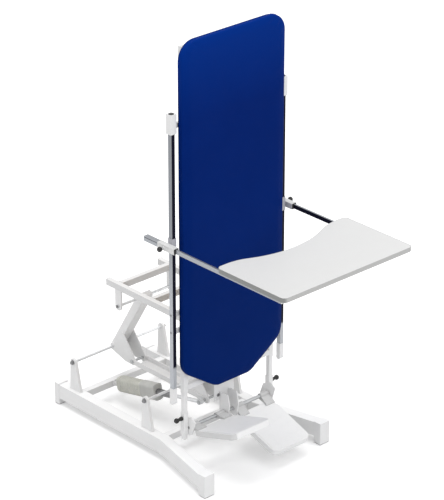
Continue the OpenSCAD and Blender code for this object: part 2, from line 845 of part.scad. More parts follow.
module arm_levers(shaft, top, pin) {
    difference() {
        union() {
            rod_x(-arm_w / 2, arm_w / 2, shaft, hub_d);
            both_sides() lever_plate(arm_w / 2, lever_x, shaft, top, pin);
        }
        rod_x(-lever_x - cut, lever_x + cut, shaft, shaft_d + 2 * run_gap);
        rod_x(-lever_x - cut, lever_x + cut, pin, lever_pin_d);
    }
}

module rear_arm_tube() at_home() color([0.9, 0.9, 0.88]) arm_tube(rear_shaft, rear_top);

module rear_arm_levers() at_home() color([0.9, 0.9, 0.88]) arm_levers(rear_shaft, rear_top, rear_pin);

module lever_pin(x0, pin) {
    rod_x(x0, coupler_x1 + side_gap, pin, lever_pin_d);
    rod_x(coupler_x1 + side_gap, coupler_x1 + side_gap + pin_head_t, pin, pivot_head_d);
    rod_x(x0 - pin_head_t, x0, pin, pivot_head_d);
}

module rear_lever_pin()
    at_home() color([0.5, 0.5, 0.52]) lever_pin(-coupler_x1 - side_gap, rear_pin);

module front_arm_tube() at_home() color([0.9, 0.9, 0.88]) arm_tube(front_shaft, front_top);

module front_arm_levers()
    at_home() color([0.9, 0.9, 0.88]) arm_levers(front_shaft, front_top, front_pin);

module front_lever_pin()
    at_home() color([0.5, 0.5, 0.52])
        lever_pin(-lift_x - act_eye_w / 2 - side_gap, front_pin);

module coupler() {
    low = front_pin[1] - coupler_h / 2;
    at_home() color([0.9, 0.9, 0.88]) difference() {
        union() {
            both_sides() link_plate(coupler_x0, coupler_x1, front_pin, rear_pin,
                coupler_h / 2, coupler_h / 2);
            box(-coupler_x0, coupler_x0, front_pin[0] + web_front, rear_pin[0] - web_rear,
                low, low + coupler_web_h);
        }
        for (pin = [front_pin, rear_pin])
            rod_x(-coupler_x1 - cut, coupler_x1 + cut, pin, lever_pin_d + 2 * run_gap);
    }
}

// Upper frame

module upper_side_tubes() {
    at_home() color([0.9, 0.9, 0.88]) both_sides()
        tube_y(upper_front_y, upper_rear_y, hinge_x, hinge_z, upper_tube_w, upper_tube_h,
            upper_wall);
}

module upper_cross_tubes() {
    at_home() color([0.9, 0.9, 0.88]) {
        for (y = [rear_top[0], upper_mid_y])
            tube_x(-upper_in, upper_in, y, upper_mid_z, upper_tube_w, upper_tube_h, upper_wall);
        tube_x(hinge_plate_t - upper_in, upper_in - hinge_plate_t, upper_front_tube_y,
            upper_front_tube_z, upper_tube_w, upper_front_h, upper_wall);
    }
}

module rear_pivot_plates() {
    x0 = pivot_plate_x;
    x1 = pivot_plate_x + pivot_plate_t;
    at_home() color([0.9, 0.9, 0.88]) both_sides() difference() {
        union() {
            box(x0, x1, rear_top[0] - pivot_plate_r, rear_top[0] + pivot_plate_r,
                rear_top[1], upper_z);
            rod_x(x0, x1, rear_top, 2 * pivot_plate_r);
        }
        rod_x(x0 - cut, x1 + cut, rear_top, pivot_d);
    }
}

module front_pivot_plates() {
    x0 = front_plate_x;
    x1 = front_plate_x + pivot_plate_t;
    low_z = upper_front_tube_z - upper_front_h / 2;
    at_home() color([0.9, 0.9, 0.88]) both_sides() difference() {
        union() {
            slab_x(x0, x1, [front_top - [front_plate_r, 0], front_top + [front_plate_r, 0],
                [upper_front_tube_y + upper_tube_w / 2, low_z],
                [upper_front_tube_y - upper_tube_w / 2, low_z]]);
            rod_x(x0, x1, front_top, 2 * front_plate_r);
        }
        rod_x(x0 - cut, x1 + cut, front_top, pivot_d);
    }
}

module pivot_shaft(half, at) {
    rod_x(-half, half, at, pivot_d);
    both_sides() rod_x(half, half + pivot_head_t, at, pivot_head_d);
}

module pivot_shafts() {
    at_home() color([0.3, 0.3, 0.32]) {
        pivot_shaft(pivot_plate_x + pivot_plate_t, rear_top);
        pivot_shaft(front_plate_x + pivot_plate_t, front_top);
    }
}

module couch_hinge_brackets() {
    r = upper_tube_h / 2;
    hinge = [hinge_y, hinge_z];
    at_home() color([0.9, 0.9, 0.88]) both_sides()
    for (x = [upper_in - hinge_plate_t, upper_x])
        difference() {
            union() {
                box(x, x + hinge_plate_t, hinge_y, hinge_y + hinge_plate_l,
                    hinge_z - r, hinge_z + r);
                rod_x(x, x + hinge_plate_t, hinge, 2 * r);
            }
            rod_x(x - cut, x + hinge_plate_t + cut, hinge, hinge_pin_d);
        }
}

module couch_hinge_pins() {
    hinge = [hinge_y, hinge_z];
    x0 = upper_in - hinge_plate_t;
    x1 = upper_x + hinge_plate_t;
    at_home() color([0.3, 0.3, 0.32]) both_sides() {
        rod_x(x0, x1, hinge, hinge_pin_d);
        rod_x(x0 - pin_head_t, x0, hinge, pivot_head_d);
        rod_x(x1, x1 + pin_head_t, hinge, pivot_head_d);
    }
}

module tilt_clevis() {
    at_home() color([0.8, 0.8, 0.78]) {
        for (x = [tilt_x - clevis_out, tilt_x + clevis_in])
            difference() {
                union() {
                    box(x, x + clevis_t, tilt_pin_y - clevis_r, tilt_pin_y + upper_tube_w / 2
                        + upper_mid_y - tilt_pin_y, tilt_pin_z, upper_z);
                    rod_x(x, x + clevis_t, tilt_rear, 2 * clevis_r);
                }
                rod_x(x - cut, x + clevis_t + cut, tilt_rear, act_pin_d);
            }
        clevis_pin(tilt_x, tilt_rear);
    }
}

// Lift actuator

module on_lift(s) translate([-lift_x, 0, 0]) along(lift_rear, front_pin)
    translate([0, 0, s]) children();

module act_eye(s) {
    rotate([0, 90, 0]) cylinder(h = act_eye_w, r = act_eye_r, center = true, $fn = round_fn);
    if (s > 0) bar(s, act_eye_w, neck_h, tube_r);
}

module lift_motor_cover() {
    rib_pitch = (motor_s1 - motor_s0) / motor_ribs;
    at_home() color([0.28, 0.29, 0.26]) difference() {
        union() {
            on_lift(0) act_eye(motor_s0 + cut);
            on_lift(motor_s0) bar(motor_s1 - motor_s0, motor_w - 2 * motor_rib_h,
                motor_h - 2 * motor_rib_h, motor_r);
            for (i = [0 : motor_ribs - 1])
                on_lift(motor_s0 + (i + rib_share) * rib_pitch)
                    bar(rib_pitch * rib_share, motor_w, motor_h, motor_r);
        }
        on_lift(motor_s0 + motor_wall) bar(motor_s1 - motor_s0,
            motor_w - 2 * motor_rib_h - 2 * motor_wall,
            motor_h - 2 * motor_rib_h - 2 * motor_wall, motor_r - motor_wall);
        rod_x(-lift_x - act_eye_w, -lift_x + act_eye_w, lift_rear, act_pin_d + 2 * run_gap);
    }
}

module lift_motor() {
    at_home() color([0.55, 0.55, 0.56])
        on_lift(motor_s1 - motor_core_l) rod_z(motor_core_l, motor_core_d);
}

module lift_gear_case() {
    at_home() color([0.4, 0.41, 0.4]) on_lift(motor_s1) difference() {
        bar(gear_s1 - motor_s1, gear_w, gear_h, motor_r);
        translate([0, 0, gear_s1 - motor_s1 - spindle_seat]) rod_z(spindle_seat + cut, spindle_d);
    }
}

module lift_outer_tube() {
    at_home() color([0.16, 0.16, 0.17]) on_lift(gear_s1) difference() {
        rod_z(outer_s1 - gear_s1, outer_d);
        translate([0, 0, -cut])
            rod_z(outer_s1 - gear_s1 + 2 * cut, lift_rod_d + 2 * slide_gap);
    }
}

module lift_spindle() {
    at_home() color([0.6, 0.6, 0.62])
        on_lift(gear_s1 - spindle_seat) rod_z(spindle_l, spindle_d);
}

module lift_rod() {
    s0 = gear_s1 + rod_start;
    at_home() color([0.7, 0.7, 0.72]) difference() {
        union() {
            on_lift(s0) rod_z(lift_l - s0, lift_rod_d);
            on_lift(lift_l) act_eye(0);
        }
        on_lift(s0 - cut) rod_z(spindle_l - rod_start, spindle_d + 2 * side_gap);
        rod_x(-lift_x - act_eye_w, -lift_x + act_eye_w, front_pin, lever_pin_d + 2 * open_gap);
    }
}

// Tilt actuator

module on_tilt(s) translate([tilt_x, 0, 0]) along(tilt_rear, tilt_front)
    translate([0, 0, s]) children();

module tilt_motor_case() {
    at_home() color([0.28, 0.29, 0.26]) difference() {
        union() {
            on_tilt(0) act_eye(clevis_r + tilt_neck + cut);
            on_tilt(clevis_r + tilt_neck) bar(tilt_case_l, tilt_case, tilt_case, motor_r);
        }
        rod_x(tilt_x - act_eye_w, tilt_x + act_eye_w, tilt_rear, act_pin_d + 2 * run_gap);
    }
}

module tilt_outer_tube() {
    s0 = clevis_r + tilt_neck + tilt_case_l;
    at_home() color([0.16, 0.16, 0.17]) on_tilt(s0) difference() {
        rod_z(tilt_outer_s1 - s0, tilt_outer_d);
        translate([0, 0, -cut])
            rod_z(tilt_outer_s1 - s0 + 2 * cut, tilt_rod_d + 2 * slide_gap);
    }
}

module tilt_rod() {
    s0 = clevis_r + tilt_neck + tilt_case_l + rod_start;
    at_home() color([0.7, 0.7, 0.72]) {
        on_tilt(s0) rod_z(tilt_l - s0, tilt_rod_d);
        rod_x(tilt_x - act_eye_w / 2, tilt_x + act_eye_w / 2, tilt_front, 2 * tilt_eye_r);
    }
}

// Couch

module pad() {
    o = outline(pad_pts, [for (p = pad_pts) pad_corner_r]);
    profile = concat(
        [for (i = [0 : crown_steps]) let (a = 90 * i / crown_steps)
            [crown_w * (1 - sin(a)), crown_h * (1 - cos(a))]],
        [for (i = [1 : side_steps]) let (f = i / side_steps)
            [side_draw * f ^ 2, crown_h + (cushion_t - crown_h) * f]]);
    n = len(o);
    m = len(profile);
    points = [for (p = profile) each [for (q = inset(o, p[0])) [q[0], p[1], q[1]]]];
    faces = concat(
        [[for (i = [n - 1 : -1 : 0]) i], [for (i = [0 : n - 1]) (m - 1) * n + i]],
        [for (k = [0 : m - 2], i = [0 : n - 1]) let (j = (i + 1) % n)
            [k * n + i, k * n + j, (k + 1) * n + j, (k + 1) * n + i]]);
    at_home() color([0.04, 0.13, 0.36]) polyhedron(points = points, faces = faces, convexity = 4);
}

module pad_board() {
    o = outline(pad_pts, [for (p = pad_pts) pad_corner_r]);
    at_home() color([0.76, 0.66, 0.5]) translate([0, pad_back, 0]) rotate([90, 0, 0])
        linear_extrude(board_t) polygon(inset(o, side_draw + board_inset));
}

module couch_side_tubes() {
    at_home() color([0.9, 0.9, 0.88]) both_sides()
        tube_z(frame_z0, frame_z1, frame_x, frame_y, frame_tube, frame_tube, frame_wall);
}

module couch_cross_tubes() {
    levels = concat([frame_z0 + frame_tube, frame_z1 - frame_tube],
        [for (z = [hinge_z : cross_pitch : frame_z1 - cross_pitch]) z]);
    at_home() color([0.9, 0.9, 0.88])
    for (z = levels)
        tube_x(-frame_in, frame_in, frame_y, z, frame_tube, frame_tube, frame_wall);
}

module couch_legs() {
    at_home() color([0.9, 0.9, 0.88]) both_sides()
        tube_z(leg_z0 + leg_plug_h, frame_z0 + leg_insert, frame_x, frame_y, leg_w, leg_w,
            frame_wall);
}

module leg_plugs() {
    at_home() color([0.86, 0.86, 0.85]) both_sides()
        translate([frame_x, frame_y, leg_z0]) bar(leg_plug_h, leg_w, leg_w, tube_r);
}

module couch_hinge_lugs() {
    hinge = [hinge_y, hinge_z];
    tube_half = frame_tube / 2;
    x0 = hinge_x - lug_w / 2;
    x1 = hinge_x + lug_w / 2;
    at_home() color([0.9, 0.9, 0.88]) {
        both_sides() difference() {
            union() {
                box(x0, x1, frame_back, hinge_y, hinge_z - lug_r, hinge_z + lug_r);
                rod_x(x0, x1, hinge, 2 * lug_r);
            }
            rod_x(x0 - cut, x1 + cut, hinge, hinge_pin_d + 2 * run_gap);
        }
        for (x = [tilt_x - clevis_out, tilt_x + clevis_in]) {
            box(x, x + clevis_t, frame_back, frame_back + tube_half,
                hinge_z - tube_half, hinge_z + tube_half);
            link_plate(x, x + clevis_t, [frame_back + tube_half, hinge_z], tilt_front,
                tube_half, tilt_eye_r);
        }
        rod_x(tilt_x - clevis_out - pin_head_t, tilt_x - clevis_out, tilt_front, pin_head_d);
        rod_x(tilt_x + clevis_out, tilt_x + clevis_out + pin_head_t, tilt_front, pin_head_d);
    }
}

module side_rails() {
    front = rail_side_y - rail_side_d / 2;
    at_home() color([0.78, 0.79, 0.8]) both_sides() difference() {
        tube_z(rail_side_z0, rail_side_z1, rail_side_x, rail_side_y, rail_side_w, rail_side_d,
            rail_side_wall);
        box(rail_side_x - rail_slot_w / 2, rail_side_x + rail_slot_w / 2, front - cut,
            front + rail_slot_t, rail_side_z0 - cut, rail_side_z1 + cut);
    }
}

module rail_end_sleeves() {
    at_home() color([0.88, 0.88, 0.86]) both_sides() {
        translate([rail_side_x, rail_side_y, rail_side_z1]) difference() {
            bar(top_sleeve_h, top_sleeve_w, top_sleeve_w, tube_r);
            translate([0, 0, top_sleeve_h - socket_depth]) rod_z(socket_depth + cut, socket_d);
        }
        translate([rail_side_x, rail_side_y, rail_side_z0 - low_sleeve_h]) {
            translate([0, 0, low_sleeve_w / 2])
                bar(low_sleeve_h - low_sleeve_w / 2, low_sleeve_w, low_sleeve_w, tube_r);
            translate([-low_sleeve_w / 2, 0, 0])
                intersection() {
                    translate([0, 0, low_sleeve_w / 2]) rotate([0, 90, 0])
                        cylinder(h = low_sleeve_w, d = low_sleeve_w, $fn = round_fn);
                    box(0, low_sleeve_w, -low_sleeve_w, low_sleeve_w, 0, low_sleeve_w / 2);
                }
        }
    }
}

module rail_brackets() {
    rail_in = rail_side_x - rail_side_w / 2;
    sleeve_in = rail_side_x - top_sleeve_w / 2;
    y0 = frame_y - bracket_d / 2;
    at_home() color([0.9, 0.9, 0.88]) both_sides() {
        for (z = [bracket_z, bracket_z + bracket_pitch])
            box(frame_out, rail_in, y0, y0 + bracket_d, z - bracket_h / 2, z + bracket_h / 2);
        box(frame_out, sleeve_in, y0, y0 + bracket_d,
            rail_side_z1 + bracket_h, rail_side_z1 + 2 * bracket_h);
    }
}

// Tray and its carriage

module knob_boss(x, y, z)
    rod_x(x, x + knob_boss_l, [y, z], knob_boss_d);

module knob_bore(x0, x1, y, z)
    rod_x(x0, x1, [y, z], knob_screw_d + 2 * run_gap);

module tray_slides() {
    z1 = tray_top + slider_top_gap;
    at_home() color([0.88, 0.88, 0.86]) both_sides() difference() {
        union() {
            tube_z(z1 - slider_h, z1, rail_side_x, rail_side_y, slider_w, slider_d,
                (slider_w - rail_side_w) / 2 - slide_gap);
            translate([bar_x, sleeve_rear, bar_z]) rotate([90, 0, 0]) linear_extrude(
                sleeve_rear + sleeve_front) difference() {
                    soft_rect(sleeve_w, sleeve_h, tube_r);
                    square([guide_w, guide_w], center = true);
                }
            knob_boss(sleeve_out, tray_knob_y, bar_z);
        }
        knob_bore(bar_x + guide_w / 2 - cut, sleeve_out + knob_boss_l + cut,
            tray_knob_y, bar_z);
    }
}

module guide_tubes() {
    at_home() color([0.7, 0.7, 0.72]) both_sides() difference() {
        translate([bar_x, guide_rear, bar_z]) rotate([90, 0, 0])
            linear_extrude(guide_rear + sleeve_front - bush_l) difference() {
                square([guide_w, guide_w], center = true);
                square([bar_w + 2 * slide_gap, bar_h + 2 * slide_gap], center = true);
            }
        knob_bore(bar_x, sleeve_out, tray_knob_y, bar_z);
    }
}

module sleeve_bushes() {
    at_home() color([0.1, 0.1, 0.1]) both_sides()
        translate([bar_x, bush_l - sleeve_front, bar_z]) rotate([90, 0, 0])
        linear_extrude(bush_l + bush_out) difference() {
            square([guide_w, guide_w], center = true);
            square([bar_w + 2 * slide_gap, bar_h + 2 * slide_gap], center = true);
        }
}

module tray_board() {
    o = outline(tray_pts, tray_radii);
    at_home() color([0.92, 0.92, 0.91]) translate([0, 0, tray_low]) linear_extrude(tray_t)
        polygon(inset(o, band_t));
}

module tray_edge_band() {
    o = outline(tray_pts, tray_radii);
    at_home() color([0.7, 0.7, 0.7]) translate([0, 0, tray_low]) linear_extrude(tray_t)
    difference() {
        polygon(inset(o, 0));
        polygon(inset(o, band_t));
    }
}

module tray_bars() {
    inner = bar_x - bar_w / 2;
    at_home() color([0.78, 0.79, 0.8]) both_sides() difference() {
        box(inner, inner + bar_w, -bar_front, bar_rear,
            bar_z - bar_h / 2, bar_z + bar_h / 2);
        box(inner - cut, inner + rail_slot_t, -bar_front - cut, bar_rear + cut,
            bar_z - bar_slot_h / 2, bar_z + bar_slot_h / 2);
    }
}

module tray_spacers() {
    at_home() color([0.6, 0.6, 0.62]) both_sides()
    for (y = [-bar_front + spacer_d, -tray_back - 2 * spacer_d])
        translate([bar_x, y, bar_z + bar_h / 2]) rod_z(tray_gap, spacer_d);
}

module knob(x_tip, x_ball, y, z) {
    rod_x(x_tip, x_ball, [y, z], knob_screw_d);
    translate([x_ball, y, z]) sphere(d = knob_d, $fn = round_fn);
}

module tray_knob()
    knob(bar_x + bar_w / 2 + side_gap, sleeve_out + knob_boss_l + tray_knob_reach,
        tray_knob_y, bar_z);

module left_tray_knob() at_home() color([0.08, 0.08, 0.09]) mirror([1, 0, 0]) tray_knob();

module right_tray_knob() at_home() color([0.08, 0.08, 0.09]) tray_knob();

// Foot carriage and footplates

module foot_sleeves() {
    at_home() color([0.9, 0.9, 0.88]) both_sides() difference() {
        union() {
            tube_z(foot_sleeve_z0, foot_sleeve_z1, frame_x, frame_y, foot_sleeve_w,
                foot_sleeve_w, (foot_sleeve_w - leg_w) / 2 - slide_gap);
            knob_boss(foot_out, frame_y, foot_knob_z);
            rod_x(foot_out, foot_out + pin_head_t, [frame_y, foot_axis_z], pin_head_d);
        }
        knob_bore(frame_x + leg_w / 2, foot_out + knob_boss_l + cut, frame_y, foot_knob_z);
    }
}

module cheek(x0, front, rear_pts) {
    a = [foot_axis_y, foot_axis_z];
    difference() {
        slab_x(x0, x0 + cheek_t, [for (p = concat(rear_pts, [[-cheek_low_y, -cheek_low],
            [-cheek_chin_y, -cheek_chin], [-front, cheek_nose]])) a + p]);
        rod_x(x0 - cut, x0 + cheek_t + cut, a, foot_tube_d);
    }
}

module foot_brackets() {
    wall_y = hanger_y - foot_axis_y;
    at_home() color([0.9, 0.9, 0.88]) {
        both_sides() {
            cheek(foot_in - cheek_t, cheek_front, [[-cheek_top_y, cheek_top],
                [cheek_shoulder_y, cheek_shoulder], [cheek_rear, -cheek_rear_drop]]);
            cheek(inner_cheek_x - cheek_t / 2, inner_cheek_front,
                [[-inner_cheek_top_y, inner_cheek_top], [wall_y, inner_cheek_rear],
                    [wall_y, -cheek_rear_drop]]);
        }
        box(-hanger_half, hanger_half, hanger_y, hanger_y + hanger_t, hanger_z0, hanger_z1);
    }
}

module foot_cross_tube() {
    a = [foot_axis_y, foot_axis_z];
    at_home() color([0.7, 0.7, 0.72]) difference() {
        rod_x(-foot_in, foot_in, a, foot_tube_d);
        rod_x(-foot_in - cut, foot_in + cut, a, foot_tube_d - 2 * foot_tube_wall);
    }
}

module foot_knob()
    knob(frame_x + leg_w / 2 + side_gap, foot_out + knob_boss_l + foot_knob_reach,
        frame_y, foot_knob_z);

module left_foot_knob() at_home() color([0.08, 0.08, 0.09]) mirror([1, 0, 0]) foot_knob();

module right_foot_knob() at_home() color([0.08, 0.08, 0.09]) foot_knob();

module on_foot_axis(toes_up)
    translate([0, foot_axis_y, foot_axis_z]) rotate([-toes_up, 0, 0]) children();

module footplate() {
    pts = [[plate_x0, -plate_front], [plate_x1, -plate_front], [plate_x1, -plate_neck],
        [neck_x1, -plate_neck], [neck_x1, -plate_rear], [neck_x0, -plate_rear],
        [neck_x0, -plate_neck], [plate_x0, -plate_neck]];
    radii = [plate_corner_r, plate_corner_r, 0, 0, 0, 0, 0, 0];
    translate([0, 0, -plate_drop - plate_t]) linear_extrude(plate_t)
        polygon(inset(outline(pts, radii), 0));
}

module footplate_hinge() {
    difference() {
        for (x = [neck_x0, neck_x1 - barrel_l]) {
            rod_x(x, x + barrel_l, [0, 0], barrel_d);
            slab_x(x, x + barrel_l, [[0, -plate_drop], [0, 0], [-barrel_d / 2, hinge_arm_top],
                [-hinge_arm_l, hinge_arm_tip - plate_drop], [-hinge_arm_l, -plate_drop]]);
        }
        rod_x(neck_x0 - cut, neck_x1 + cut, [0, 0], foot_tube_d + 2 * run_gap);
    }
}

module left_footplate()
    at_home() color([0.75, 0.75, 0.75]) mirror([1, 0, 0]) on_foot_axis(left_toes_up) footplate();

module left_footplate_hinge()
    at_home() color([0.9, 0.9, 0.88]) mirror([1, 0, 0]) on_foot_axis(left_toes_up)
        footplate_hinge();

module right_footplate()
    at_home() color([0.75, 0.75, 0.75]) on_foot_axis(-right_toes_down) footplate();

module right_footplate_hinge()
    at_home() color([0.9, 0.9, 0.88]) on_foot_axis(-right_toes_down) footplate_hinge();

base_rails();
base_cross_tubes();
base_feet();
foot_pads();
shaft_towers();
link_shafts();
shaft_nuts();
lift_clevis();
rear_arm_tube();
rear_arm_levers();
rear_lever_pin();
front_arm_tube();
front_arm_levers();
front_lever_pin();
coupler();
upper_side_tubes();
upper_cross_tubes();
rear_pivot_plates();
front_pivot_plates();
pivot_shafts();
couch_hinge_brackets();
couch_hinge_pins();
tilt_clevis();
lift_motor_cover();
lift_motor();
lift_gear_case();
lift_outer_tube();
lift_spindle();
lift_rod();
tilt_motor_case();
tilt_outer_tube();
tilt_rod();
pad();
pad_board();
couch_side_tubes();
couch_cross_tubes();
couch_legs();
leg_plugs();
couch_hinge_lugs();
side_rails();
rail_end_sleeves();
rail_brackets();
tray_slides();
guide_tubes();
sleeve_bushes();
tray_board();
tray_edge_band();
tray_bars();
tray_spacers();
left_tray_knob();
right_tray_knob();
foot_sleeves();
foot_brackets();
foot_cross_tube();
left_foot_knob();
right_foot_knob();
left_footplate();
left_footplate_hinge();
right_footplate();
right_footplate_hinge();
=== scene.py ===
import math

import bmesh
import bpy
from mathutils import Matrix, Vector


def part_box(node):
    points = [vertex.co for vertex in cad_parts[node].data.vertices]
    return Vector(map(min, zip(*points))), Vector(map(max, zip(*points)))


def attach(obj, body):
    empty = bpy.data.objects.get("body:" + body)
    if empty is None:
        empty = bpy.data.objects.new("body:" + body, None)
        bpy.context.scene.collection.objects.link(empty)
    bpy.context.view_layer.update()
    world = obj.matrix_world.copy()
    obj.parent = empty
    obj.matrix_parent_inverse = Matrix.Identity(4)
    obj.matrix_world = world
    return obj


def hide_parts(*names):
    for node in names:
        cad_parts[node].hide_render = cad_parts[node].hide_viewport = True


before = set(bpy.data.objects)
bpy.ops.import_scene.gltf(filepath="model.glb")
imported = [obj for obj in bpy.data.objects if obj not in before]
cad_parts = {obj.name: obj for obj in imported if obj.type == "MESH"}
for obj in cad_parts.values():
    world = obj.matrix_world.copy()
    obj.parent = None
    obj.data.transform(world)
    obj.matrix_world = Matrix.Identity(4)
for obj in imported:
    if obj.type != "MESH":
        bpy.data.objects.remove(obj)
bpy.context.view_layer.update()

# The frame is in metres: x across the table, y to the rear, z up. The points given to at(),
# and all profiles, bevels and beads, are in millimetres, as in part.scad.
COUCH_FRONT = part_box("pad")[0].y  # the zero of part.scad's depths
BAR_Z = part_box("tray_bars")[0].z + 0.012  # half-way up the tray bars
PAD_MIDDLE_Z = 1.431
TAU = 2 * math.pi
HAIR = 0.0002  # what sits on a face starts this far inside it


def at(x, y, z):
    """A point given in millimetres from the couch's front face, in the row frame."""
    return Vector((x / 1000, y / 1000 + COUCH_FRONT, z / 1000))


# ---------------------------------------------------------------- materials
MID = (0.3, 0.7)  # most values of a noise texture lie between these
MIX_A, MIX_B, MIX_OUT = 6, 7, 2  # the colour sockets of a Mix node
BEVEL_SAMPLES = 4
EDGE_RADIUS = 0.0016
EDGE_LEAN = (0.02, 0.14)  # how far the rounded normal leans from the face's own
WORN_PAINT = (0.36, 0.36, 0.36)


def grey(level):
    return (level,) * 3


def tinted(colour, gain, lift=0.0):
    """A colour made lighter or darker, and never over 1."""
    return tuple(min(1.0, c * gain + lift) for c in colour)


class Paint:
    """Builds one procedural material; the coordinates are the part's own, in metres."""

    def __init__(self, name):
        self.material = bpy.data.materials.new(name)
        self.material.use_nodes = True
        self.tree = self.material.node_tree
        self.tree.nodes.clear()
        out = self.add("ShaderNodeOutputMaterial")
        self.shader = self.add("ShaderNodeBsdfPrincipled")
        self.link(self.shader.outputs[0], out.inputs[0])
        self.where = self.add("ShaderNodeTexCoord").outputs["Object"]

    def add(self, kind, **settings):
        node = self.tree.nodes.new(kind)
        for key, value in settings.items():
            setattr(node, key, value)
        return node

    def link(self, a, b):
        self.tree.links.new(a, b)

    def feed(self, socket, value):
        """Links a node's output to a socket, or sets a number or a colour on it."""
        if isinstance(value, bpy.types.NodeSocket):
            self.link(value, socket)
        elif socket.type == "RGBA":
            socket.default_value = (*value, 1)
        else:
            socket.default_value = value

    def maths(self, operation, a, b=0.0):
        node = self.add("ShaderNodeMath", operation=operation)
        self.feed(node.inputs[0], a)
        self.feed(node.inputs[1], b)
        return node.outputs[0]

    def times(self, a, b):
        return self.maths("MULTIPLY", a, b)

    def plus(self, a, b):
        return self.maths("ADD", a, b)

    def minus(self, a, b):
        return self.maths("SUBTRACT", a, b)

    def over(self, value, limit):
        """1 where a value is over the limit, else 0."""
        return self.maths("GREATER_THAN", value, limit)

    def under(self, value, limit):
        """1 where a value is under the limit, else 0."""
        return self.maths("LESS_THAN", value, limit)

    def band(self, value, middle, half):
        """1 where a value lies within half of the middle, else 0."""
        return self.under(self.maths("ABSOLUTE", self.minus(value, middle)), half)

    def spread(self, value, low, high, to_low=0.0, to_high=1.0):
        """Maps low and high to the two new values, and keeps within them."""
        node = self.add("ShaderNodeMapRange")
        for i, v in enumerate((value, low, high, to_low, to_high)):
            self.feed(node.inputs[i], v)
        return node.outputs[0]

    def stretch(self, x, y, z):
        """The coordinates, each times a factor of its own."""
        node = self.add("ShaderNodeMapping")
        self.link(self.where, node.inputs[0])
        node.inputs["Scale"].default_value = (x, y, z)
        return node.outputs[0]

    def noise(self, scale, detail=3.0, rough=0.55, where=None):
        node = self.add("ShaderNodeTexNoise")
        self.link(where or self.where, node.inputs["Vector"])
        node.inputs["Scale"].default_value = scale
        node.inputs["Detail"].default_value = detail
        node.inputs["Roughness"].default_value = rough
        return node.outputs[0]

    def cells(self, scale, feature="F1"):
        node = self.add("ShaderNodeTexVoronoi", feature=feature)
        self.link(self.where, node.inputs["Vector"])
        node.inputs["Scale"].default_value = scale
        return node.outputs["Distance"]

    def axis(self, name, source=None):
        node = self.add("ShaderNodeSeparateXYZ")
        self.link(source or self.where, node.inputs[0])
        return node.outputs[name]

    def aside(self):
        """The distance from the table's middle plane."""
        return self.maths("ABSOLUTE", self.axis("X"))

    def mix(self, share, a, b):
        node = self.add("ShaderNodeMix", data_type="RGBA")
        self.feed(node.inputs[0], share)
        self.feed(node.inputs[MIX_A], a)
        self.feed(node.inputs[MIX_B], b)
        return node.outputs[MIX_OUT]

    def bevel(self, radius):
        """The normal with sharp edges rounded off."""
        node = self.add("ShaderNodeBevel", samples=BEVEL_SAMPLES)
        node.inputs[0].default_value = radius
        return node.outputs[0]

    def edges(self):
        """Near 1 along sharp edges, where paint wears and dirt gathers."""
        flat = self.add("ShaderNodeNewGeometry").outputs["Normal"]
        dot = self.add("ShaderNodeVectorMath", operation="DOT_PRODUCT")
        self.link(self.bevel(EDGE_RADIUS), dot.inputs[0])
        self.link(flat, dot.inputs[1])
        return self.spread(self.minus(1.0, dot.outputs["Value"]), *EDGE_LEAN)

    def facing(self, name, low, high):
        """Near 1 where the face looks along the named axis."""
        normal = self.add("ShaderNodeNewGeometry").outputs["Normal"]
        return self.spread(self.axis(name, normal), low, high)

    def relief(self, height, distance, strength, soft_edge=0.0):
        node = self.add("ShaderNodeBump")
        node.inputs["Strength"].default_value = strength
        node.inputs["Distance"].default_value = distance
        self.link(height, node.inputs["Height"])
        if soft_edge:
            self.link(self.bevel(soft_edge), node.inputs["Normal"])
        self.link(node.outputs[0], self.shader.inputs["Normal"])

    def set(self, **values):
        """Sets the shader's sockets, named with _ for a space, and gives the material."""
        for key, value in values.items():
            self.feed(self.shader.inputs[key.replace("_", " ")], value)
        return self.material


def coated(p, colour, smooth, matt):
    """The fine orange peel and the gloss of powder coat, under a colour."""
    rough = p.spread(p.noise(40.0, 4.0), *MID, smooth, matt)
    p.relief(p.noise(650.0, 2.0), 0.00012, 0.5, 0.0009)
    return p.set(Base_Color=colour, Roughness=rough, Specular_IOR_Level=0.3)


def powder_coat(name, top, side):
    """White powder coat with painted light on faces that look up and painted shade on its sides;
    top and side: (pale, dull) greys.
    """
    p = Paint(name)
    drift = p.spread(p.noise(5.0, 4.0), 0.35, 0.7)
    # painted light and shade: faces that look up take the paler grey, the sides the duller one
    above = p.mix(drift, *map(grey, top))
    painted_shade_sides = p.mix(drift, *map(grey, side))
    colour = p.mix(p.facing("Z", 0.35, 0.75), painted_shade_sides, above)
    chip = p.times(p.edges(), p.spread(p.noise(160.0, 5.0), 0.60, 0.70))
    colour = p.mix(p.times(chip, 0.55), colour, WORN_PAINT)
    return coated(p, colour, 0.34, 0.48)


# Where the rails' and the tray bars' dark channels lie, painted navy as shade and the pad's
# reflection; x is taken on either side.
BARS_FROM_X = 0.4005  # the rails lie within this, the tray bars beyond it
RAIL_CHANNEL_X = (0.3835, 0.0114)  # the middle and the half width
RAIL_CHANNEL_FROM_Z = (0.622, 0.634)
RAIL_CHANNEL_TO_Y = COUCH_FRONT + 0.0441
RAIL_PAINTED_REFLECTION_Z = (1.45, 0.95)  # painted reflection of the floor: paler from the first height down to the second
BAR_CHANNEL_X = (0.4105, 0.0012)
BAR_CHANNEL_Z = (BAR_Z, 0.0112)
BAR_GROOVE_FROM_X = 0.4288
BAR_GROOVE_Z = (BAR_Z + 0.0075, 0.0022)
BRUSH_FINE, BRUSH_LONG = 2600, 14


